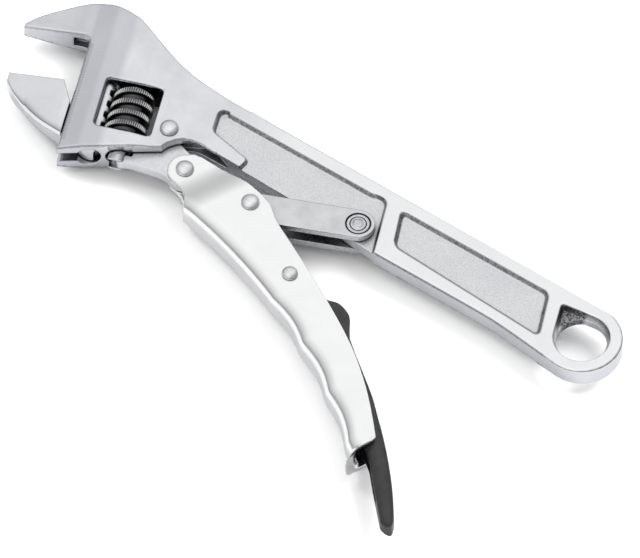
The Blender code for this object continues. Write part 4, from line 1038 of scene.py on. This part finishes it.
def rivet(node, shank):
    """Both domed heads and the shank of a rivet, turned in fine steps."""
    low, high = (Vector(corner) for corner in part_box(node))
    middle = (low + high) / 2
    radius = (high.x - low.x) / 2
    seat = high.z - DOME_HEIGHT
    upper = []
    for step in range(DOME_STEPS + 1):
        angle = math.pi / 2 * step / DOME_STEPS
        share = DOME_FOOT_SHARE + (1 - DOME_FOOT_SHARE) * math.cos(angle)
        upper.append((radius * math.sin(angle), seat + DOME_HEIGHT * share))
    upper += [(radius * DOME_SEAT_SHARE, seat), (shank, seat)]
    work = bmesh.new()
    lathe(work, Vector((middle.x, middle.y, 0)), upper + [(r, -z) for r, z in reversed(upper)])
    turned_piece(node + "_turned", work, node)


# The worm, knurled on its crests

def thread_section():
    """One pitch of the thread: height along the axis, radius, and how much of the knurl it takes."""
    rise = [(-WORM_PITCH / 2, WORM_ROOT, 0.0),
            (-THREAD_FOOT * 1.12, WORM_ROOT, 0.0),
            (-THREAD_FOOT * 0.92, WORM_ROOT + THREAD_DEPTH * 0.10, 0.0),
            (-THREAD_CREST * 1.18, WORM_RADIUS - THREAD_DEPTH * 0.16, 0.25),
            (-THREAD_CREST * 0.92, WORM_RADIUS - THREAD_DEPTH * 0.03, 0.8),
            (0.0, WORM_RADIUS, 1.0)]
    return rise + [(-height, radius, knurl) for height, radius, knurl in rise[-2::-1]]


def wind_thread(work, length):
    """The thread's section swept round its helix, past both ends of the worm."""
    section = thread_section()
    per_turn = KNURL_COUNT * KNURL_STEPS
    rows = []
    for index in range(-per_turn * 2, per_turn * (math.ceil(length / WORM_PITCH) + 2) + 1):
        share = index / per_turn
        angle = 2 * math.pi * share
        dip = KNURL_DEPTH * abs(math.sin(math.pi * index / KNURL_STEPS))
        row = []
        for height, radius, knurl in section:
            z = WORM_PITCH * share + height
            reach = min(radius - dip * knurl, WORM_RADIUS - max(0.0, WORM_CHAMFER - min(z, length - z)))
            reach = max(reach, WORM_ROOT - WORM_CHAMFER / 2)
            row.append(work.verts.new((reach * math.cos(angle), reach * math.sin(angle), z)))
        rows.append(row)
    for before, after in zip(rows, rows[1:]):
        for i in range(len(section) - 1):
            work.faces.new((before[i], before[i + 1], after[i + 1], after[i]))
    bmesh.ops.remove_doubles(work, verts=work.verts, dist=MERGE_REACH)


def close_ends(work, length):
    """Cuts the thread off square at both ends, closes them round the bore and adds the bore."""
    for level, normal in ((0.0, (0, 0, -1)), (length, (0, 0, 1))):
        bmesh.ops.bisect_plane(work, geom=work.verts[:] + work.edges[:] + work.faces[:], dist=CUT_REACH,
                               plane_co=(0, 0, level), plane_no=normal, clear_outer=True)
    rims = []
    for level in (0.0, length):
        rim = [work.verts.new(place) for place in ring_places(WORM_BORE, level)]
        ring = [work.edges.new((rim[i], rim[(i + 1) % TURN_SIDES])) for i in range(TURN_SIDES)]
        outer = [edge for edge in work.edges if edge.is_boundary
                 and all(abs(vertex.co.z - level) < RIM_REACH for vertex in edge.verts)]
        bmesh.ops.triangle_fill(work, edges=outer + ring, use_beauty=True)
        rims.append(rim)
    for i in range(TURN_SIDES):
        after = (i + 1) % TURN_SIDES
        work.faces.new((rims[0][i], rims[0][after], rims[1][after], rims[1][i]))


def worm():
    heights = [vertex.co.xy.dot(JAW_DOWN) for vertex in NODES["worm_screw"].data.vertices]
    start, end = min(heights), max(heights)
    axis = JAW_DOWN.to_3d()
    up = Vector((0, 0, 1))
    matrix = Matrix((up.cross(axis), up, axis)).transposed().to_4x4()
    matrix.translation = (WORM_CENTRE + JAW_DOWN * (start - WORM_CENTRE.dot(JAW_DOWN))).to_3d()
    work = bmesh.new()
    wind_thread(work, end - start)
    close_ends(work, end - start)
    bmesh.ops.transform(work, verts=work.verts, matrix=matrix)
    turned_piece("worm_knurled", work, "worm_screw")


# Floor, light and camera

def floor():
    mesh = bpy.data.meshes.new("floor")
    half = FLOOR_HALF
    level = CAD_LOW.z - FLOOR_GAP
    corners = [(-half, -half, level), (half, -half, level), (half, half, level), (-half, half, level)]
    mesh.from_pydata(corners, [], [(0, 1, 2, 3)])
    made = placed("floor", mesh)
    surface, tree, shader = new_material("floor_white")
    straight = add(tree, "ShaderNodeLightPath").outputs["Is Camera Ray"]
    tree.links.new(mixed(tree, straight, FLOOR_REFLECTED, FLOOR_SEEN), shader.inputs["Base Color"])
    shader.inputs["Roughness"].default_value = 0.8
    shader.inputs["Specular IOR Level"].default_value = 0.1
    mesh.materials.append(surface)


def soft_light(name, size, offset, power):
    """A broad lamp beside the tool, aimed at its middle."""
    data = bpy.data.lights.new(name, "AREA")
    data.shape = "RECTANGLE"
    data.size, data.size_y = size
    data.energy = power
    made = placed(name, data)
    made.location = (CAD_LOW + CAD_HIGH) / 2 + Vector(offset)
    made.rotation_mode = "QUATERNION"
    made.rotation_quaternion = (-Vector(offset)).to_track_quat("-Z", "Y")
    made.visible_glossy = False


def camera():
    level_run = math.cos(CAMERA_ELEVATION)
    back = Vector((math.sin(CAMERA_AZIMUTH) * level_run, -math.cos(CAMERA_AZIMUTH) * level_run,
                   math.sin(CAMERA_ELEVATION)))
    data = bpy.data.cameras.new("camera")
    data.sensor_width = SENSOR_WIDTH
    data.lens = SENSOR_WIDTH * CAMERA_DISTANCE / PICTURE_WIDTH
    made = placed("camera", data)
    made.location = CAMERA_TARGET + back * CAMERA_DISTANCE
    made.rotation_mode = "QUATERNION"
    made.rotation_quaternion = (-back).to_track_quat("-Z", "Y")
    bpy.context.scene.camera = made


def surroundings():
    """The studio that the metal reflects, dimmer to both sides, and plain white light for all else."""
    world = bpy.data.worlds.new("studio")
    world.use_nodes = True
    tree = world.node_tree
    background = tree.nodes["Background"]
    parts = parts_of(tree, add(tree, "ShaderNodeTexCoord").outputs["Generated"])
    ramp = add(tree, "ShaderNodeValToRGB", {"Fac": parts["Z"]})
    while len(ramp.color_ramp.elements) < len(STUDIO_STOPS):
        ramp.color_ramp.elements.new(1.0)
    for element, (place, grey) in zip(ramp.color_ramp.elements, STUDIO_STOPS):
        element.position = place
        element.color = (grey, grey, grey, 1.0)
    right_side = spread(tree, parts["X"], 1.0, 0.5, 0.15, 0.55)
    left_side = spread(tree, parts["X"], 0.80, 1.0, -0.75, -0.30)
    shade = product(tree, right_side, left_side)
    shaded = add(tree, "ShaderNodeVectorMath", {0: ramp.outputs["Color"], "Scale": shade}, operation="SCALE")
    glossy = add(tree, "ShaderNodeLightPath").outputs["Is Glossy Ray"]
    tree.links.new(mixed(tree, glossy, (1.0, 1.0, 1.0), shaded.outputs[0]), background.inputs["Color"])
    background.inputs["Strength"].default_value = 1.0
    bpy.context.scene.world = world
    bpy.context.scene.view_settings.view_transform = "Standard"


for node_name, (voxel_mm, rounding, evening, keep) in FORGED.items():
    forged(node_name, voxel_mm * MM, rounding, evening, keep)
for rivet_name in ("rocker_rivet", "lever_rivet", "link_rivet"):
    rivet(rivet_name, RIVET_SHANK)
rivet("release_rivet", SMALL_RIVET_SHANK)
worm()
floor()
soft_light("top_light", (0.9, 0.9), (0.55, 0.85, 1.1), 20.0)
soft_light("side_light", (0.5, 0.9), (-0.9, -0.1, 0.9), 6.0)
camera()
surroundings()
